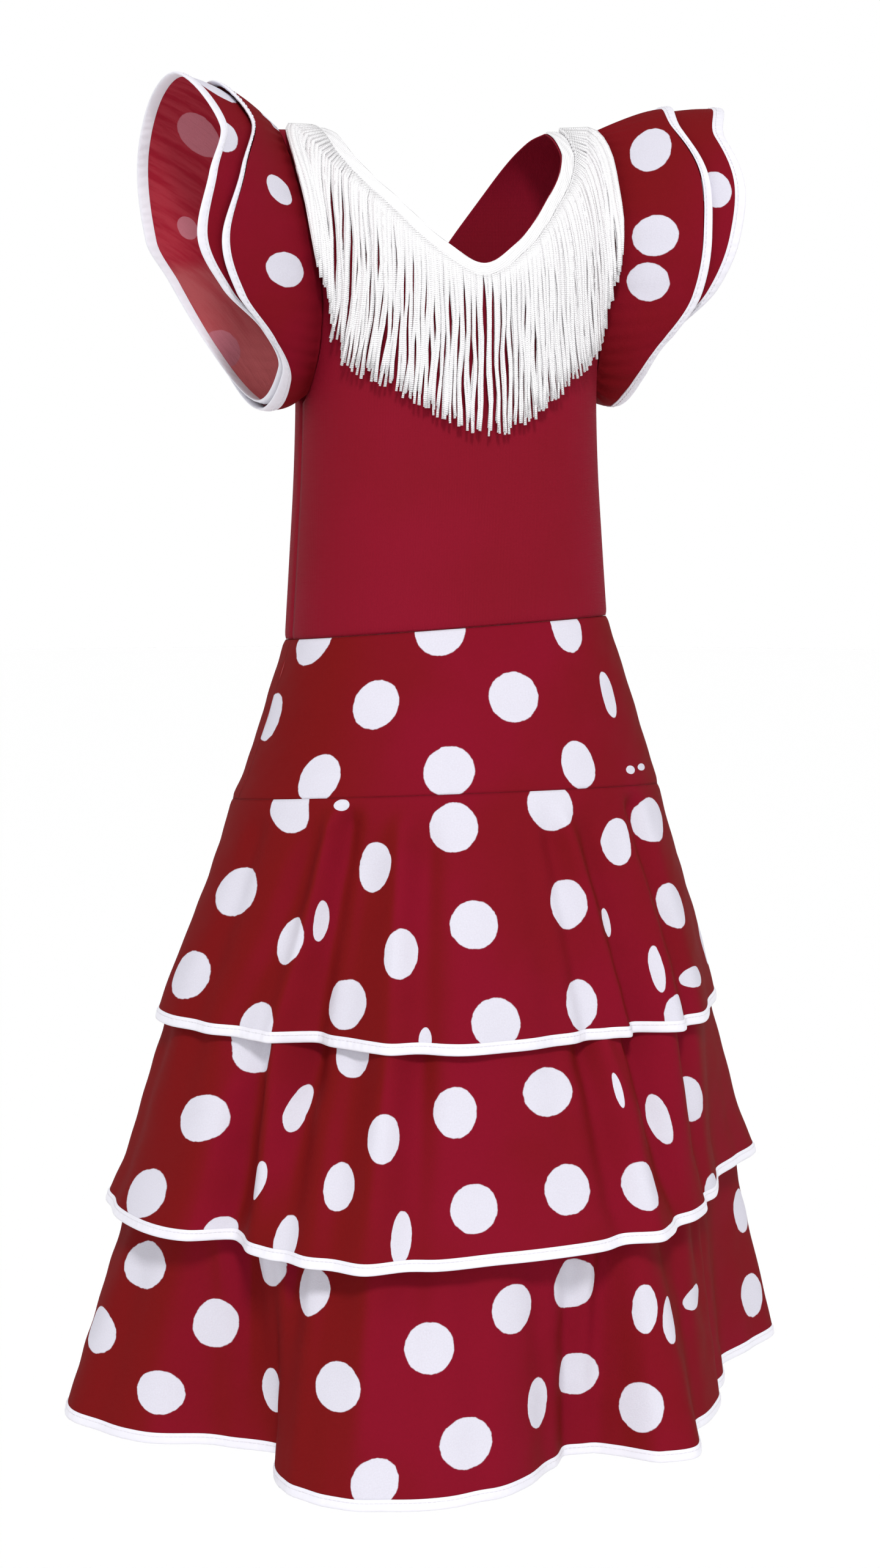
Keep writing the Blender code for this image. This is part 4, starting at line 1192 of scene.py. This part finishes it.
def tapePiece():
    # A flat band with low ridges along it
    edges = tapeEdges(fringe["tapeColumns"])
    share = np.linspace(0, 1, fringe["tapeRows"])
    flat = edges[0] + (edges[1] - edges[0]) * share[:, None, None]
    ridge = 0.75 + 0.25 * np.cos(2 * math.pi * fringe["tapeRidges"] * share) ** 2
    rounding = (1 - np.abs(2 * share - 1) ** 6) ** 0.5
    lift = fringe["tapeLift"] + fringe["tapeThickness"] * ridge * np.maximum(rounding, 0.35)
    outer, _ = laidOnBodice(flat, lift[:, None] + 0 * flat[..., 0])
    inner, _ = laidOnBodice(flat, np.full(flat.shape[:2], fringe["tapeLift"]))
    run = runAlong(outer[len(share) // 2]) * fringe["tapePlies"]
    uv = np.stack(np.meshgrid(run, share * fringe["tapeWidth"]), axis=-1)
    return shellPiece("fringeTape", outer, inner, False, uv, fringeCord,
                      {"tone": np.full(outer.shape[:2], 0.97)})


def strandPiece():
    # Each strand falls from the tape's lower edge, leans out over the shoulders, draws near
    # its clump, and waves a little; every second one lies in a layer of its own.
    chance = np.random.default_rng(fringe["seed"])
    count, rings = fringe["strands"], fringe["rings"]
    roots = tapeEdges(count + 2)[1][1:-1]
    share = np.linspace(0, 1, rings)[None, :] ** fringe["ringCrowding"]
    across = roots[:, 0] / edgeReach(roots[:, 1])
    fan = strandTips(roots) - across
    length = fromTable(fringe["lengths"], np.linspace(-1, 1, count))
    length = length + fringe["unevenLength"] * chance.uniform(-1, 1, count)
    clump = np.arange(count) / fringe["clump"] + chance.uniform(0, fringe["clumpUneven"], count)
    clump = np.sort(clump).astype(int)
    size = np.bincount(clump)[clump]
    centre = np.bincount(clump, across)[clump] / size
    middle = np.bincount(clump, fan)[clump] / size
    pull = fringe["clumpPull"] * easeBetween(share, *fringe["clumpStart"])
    high = np.clip(1 - roots[:, 1:2] / fringe["strapDrop"], 0, 1)
    eased = share ** (fringe["ease"] + (fringe["strapEase"] - fringe["ease"]) * high)
    place = across[:, None] + fan[:, None] * eased
    target = centre[:, None] + middle[:, None] * eased
    place = place + (target - place) * pull
    drop = roots[:, 1:2] - fringe["tuck"] + (length[:, None] + fringe["tuck"]) * share
    phase = chance.uniform(0, 2 * math.pi, (count, 2))
    phase = phase[clump] + fringe["ownPhase"] * phase
    wave = np.sin(share * 7 + phase[:, :1]) + 0.5 * np.sin(share * 15 + phase[:, 1:])
    reach = edgeReach(drop) * place + fringe["wave"] * wave * easeBetween(share, 0, 0.5)
    layer = np.arange(count)[:, None] % 2
    lift = (fringe["tapeLift"] + fringe["thickness"] / 2 + fringe["lift"] * eased
            + fringe["layer"] * layer + fringe["stray"] * chance.random((count, 1)) * eased)
    centreLine, outwards = laidOnBodice(np.stack((reach, drop), axis=-1), lift)
    sideways = unit(np.cross(np.gradient(centreLine, axis=1), outwards))
    wide = 1 + (fringe["strapWidth"] - 1) * easeBetween(high, 0.2, 0.8) * (1 - 0.6 * share)
    wide = wide * chance.uniform(*fringe["widths"], (count, 1))
    thin = (1 - fringe["taper"] * share) * wide * math.sqrt(2) / 2
    tone = np.repeat(chance.uniform(*fringe["tones"], count), rings * 4)
    return tubePiece("fringeStrands", centreLine, sideways, outwards, math.pi / 4,
                     thin * fringe["width"], thin * fringe["thickness"], fringeCord,
                     {"tone": tone})


tape = tapePiece()
rideRoot(tape, "neck_fringe")
rideRoot(strandPiece())
for panel, node, part in ((frontPanel, "bodice_front", tape),
                          (backPanel, "bodice_back", neckThreads)):
    finishSheet(panel, node)
print("fringe made")


studio = {
    "floorHeight": -2.2, "floorRadius": 16.0, "floorColour": (0.98, 0.98, 0.98),
    "skyLow": 1.0, "skyHigh": 0.50,      # white round the horizon and dimmer overhead
    "skyFades": (0.12, 0.60),            # between these heights of a direction
    "sun": {"strength": 1.94, "elevation": 48, "azimuth": -13, "softness": 10},
    "fill": {"place": (-0.9, -3.0, 0.2), "aim": (0.0, 0.0, -0.45), "size": 1.6, "power": 3.0,
             "colour": (1.0, 0.99, 0.98)},
}
camera = {
    "azimuth": -17.916, "pitch": 9.168, "distance": 2.1505, "aside": -0.0041,
    "height": -0.1116, "lens": 69.75, "sensor": 36.0,
}


def makeStage():
    angle = np.linspace(0, 2 * math.pi, 96, endpoint=False)
    ring = np.stack((np.cos(angle), np.sin(angle), 0 * angle), axis=-1) * studio["floorRadius"]
    mesh = bpy.data.meshes.new("floor")
    mesh.from_pydata((ring + (0, 0, studio["floorHeight"])).tolist(), [], [tuple(range(96))])
    floor = addObject("floor", mesh)
    finish = Finish("paleFloor", Roughness=0.9, Base_Color=(*studio["floorColour"], 1.0))
    mesh.materials.append(finish.material)
    world = bpy.data.worlds.new("studio")
    bpy.context.scene.world = world
    world.use_nodes = True
    nodes, links = world.node_tree.nodes, world.node_tree.links
    background = nodes["Background"]
    background.inputs["Color"].default_value = (1.0, 1.0, 1.0, 1.0)
    direction, height, fading = [nodes.new("ShaderNode" + kind)
                                 for kind in ("TexCoord", "SeparateXYZ", "MapRange")]
    fading.interpolation_type = "SMOOTHSTEP"
    for socket, value in zip(("From Min", "From Max", "To Min", "To Max"),
                             (*studio["skyFades"], studio["skyLow"], studio["skyHigh"])):
        fading.inputs[socket].default_value = value
    links.new(direction.outputs["Generated"], height.inputs["Vector"])
    links.new(height.outputs["Z"], fading.inputs["Value"])
    links.new(fading.outputs["Result"], background.inputs["Strength"])


def turnTowards(thing, place, aim):
    # Points a thing's -Z axis from its place to the aim, with its Y axis upwards
    back = unit(np.array(place, float) - np.array(aim, float))
    thing.location = place
    thing.rotation_euler = (math.acos(back[2]), 0.0, math.atan2(back[0], -back[1]))


def makeLights():
    fill, sun = studio["fill"], studio["sun"]
    light = bpy.data.lights.new("fill", "AREA")
    light.shape = "DISK"
    light.size = fill["size"]
    light.energy = fill["power"]
    light.color = fill["colour"]
    turnTowards(addObject("fill", light), fill["place"], fill["aim"])
    light = bpy.data.lights.new("sun", "SUN")
    light.energy = sun["strength"]
    light.angle = math.radians(sun["softness"])
    addObject("sun", light).rotation_euler = (math.radians(90 - sun["elevation"]), 0.0,
                                              math.radians(sun["azimuth"]))


def makeCamera():
    lens = bpy.data.cameras.new("camera")
    lens.lens = camera["lens"]
    lens.sensor_width = camera["sensor"]
    lens.clip_start, lens.clip_end = 0.05, 60.0
    azimuth = math.radians(camera["azimuth"])
    back = np.array([math.sin(azimuth), -math.cos(azimuth), 0.0])
    right = np.array([math.cos(azimuth), math.sin(azimuth), 0.0])
    eye = addObject("camera", lens)
    eye.location = (*(back * camera["distance"] + right * camera["aside"])[:2],
                    camera["height"])
    eye.rotation_euler = (math.radians(90 - camera["pitch"]), 0.0, azimuth)
    bpy.context.scene.camera = eye


makeStage()
makeLights()
makeCamera()
bpy.context.scene.view_settings.view_transform = "Standard"
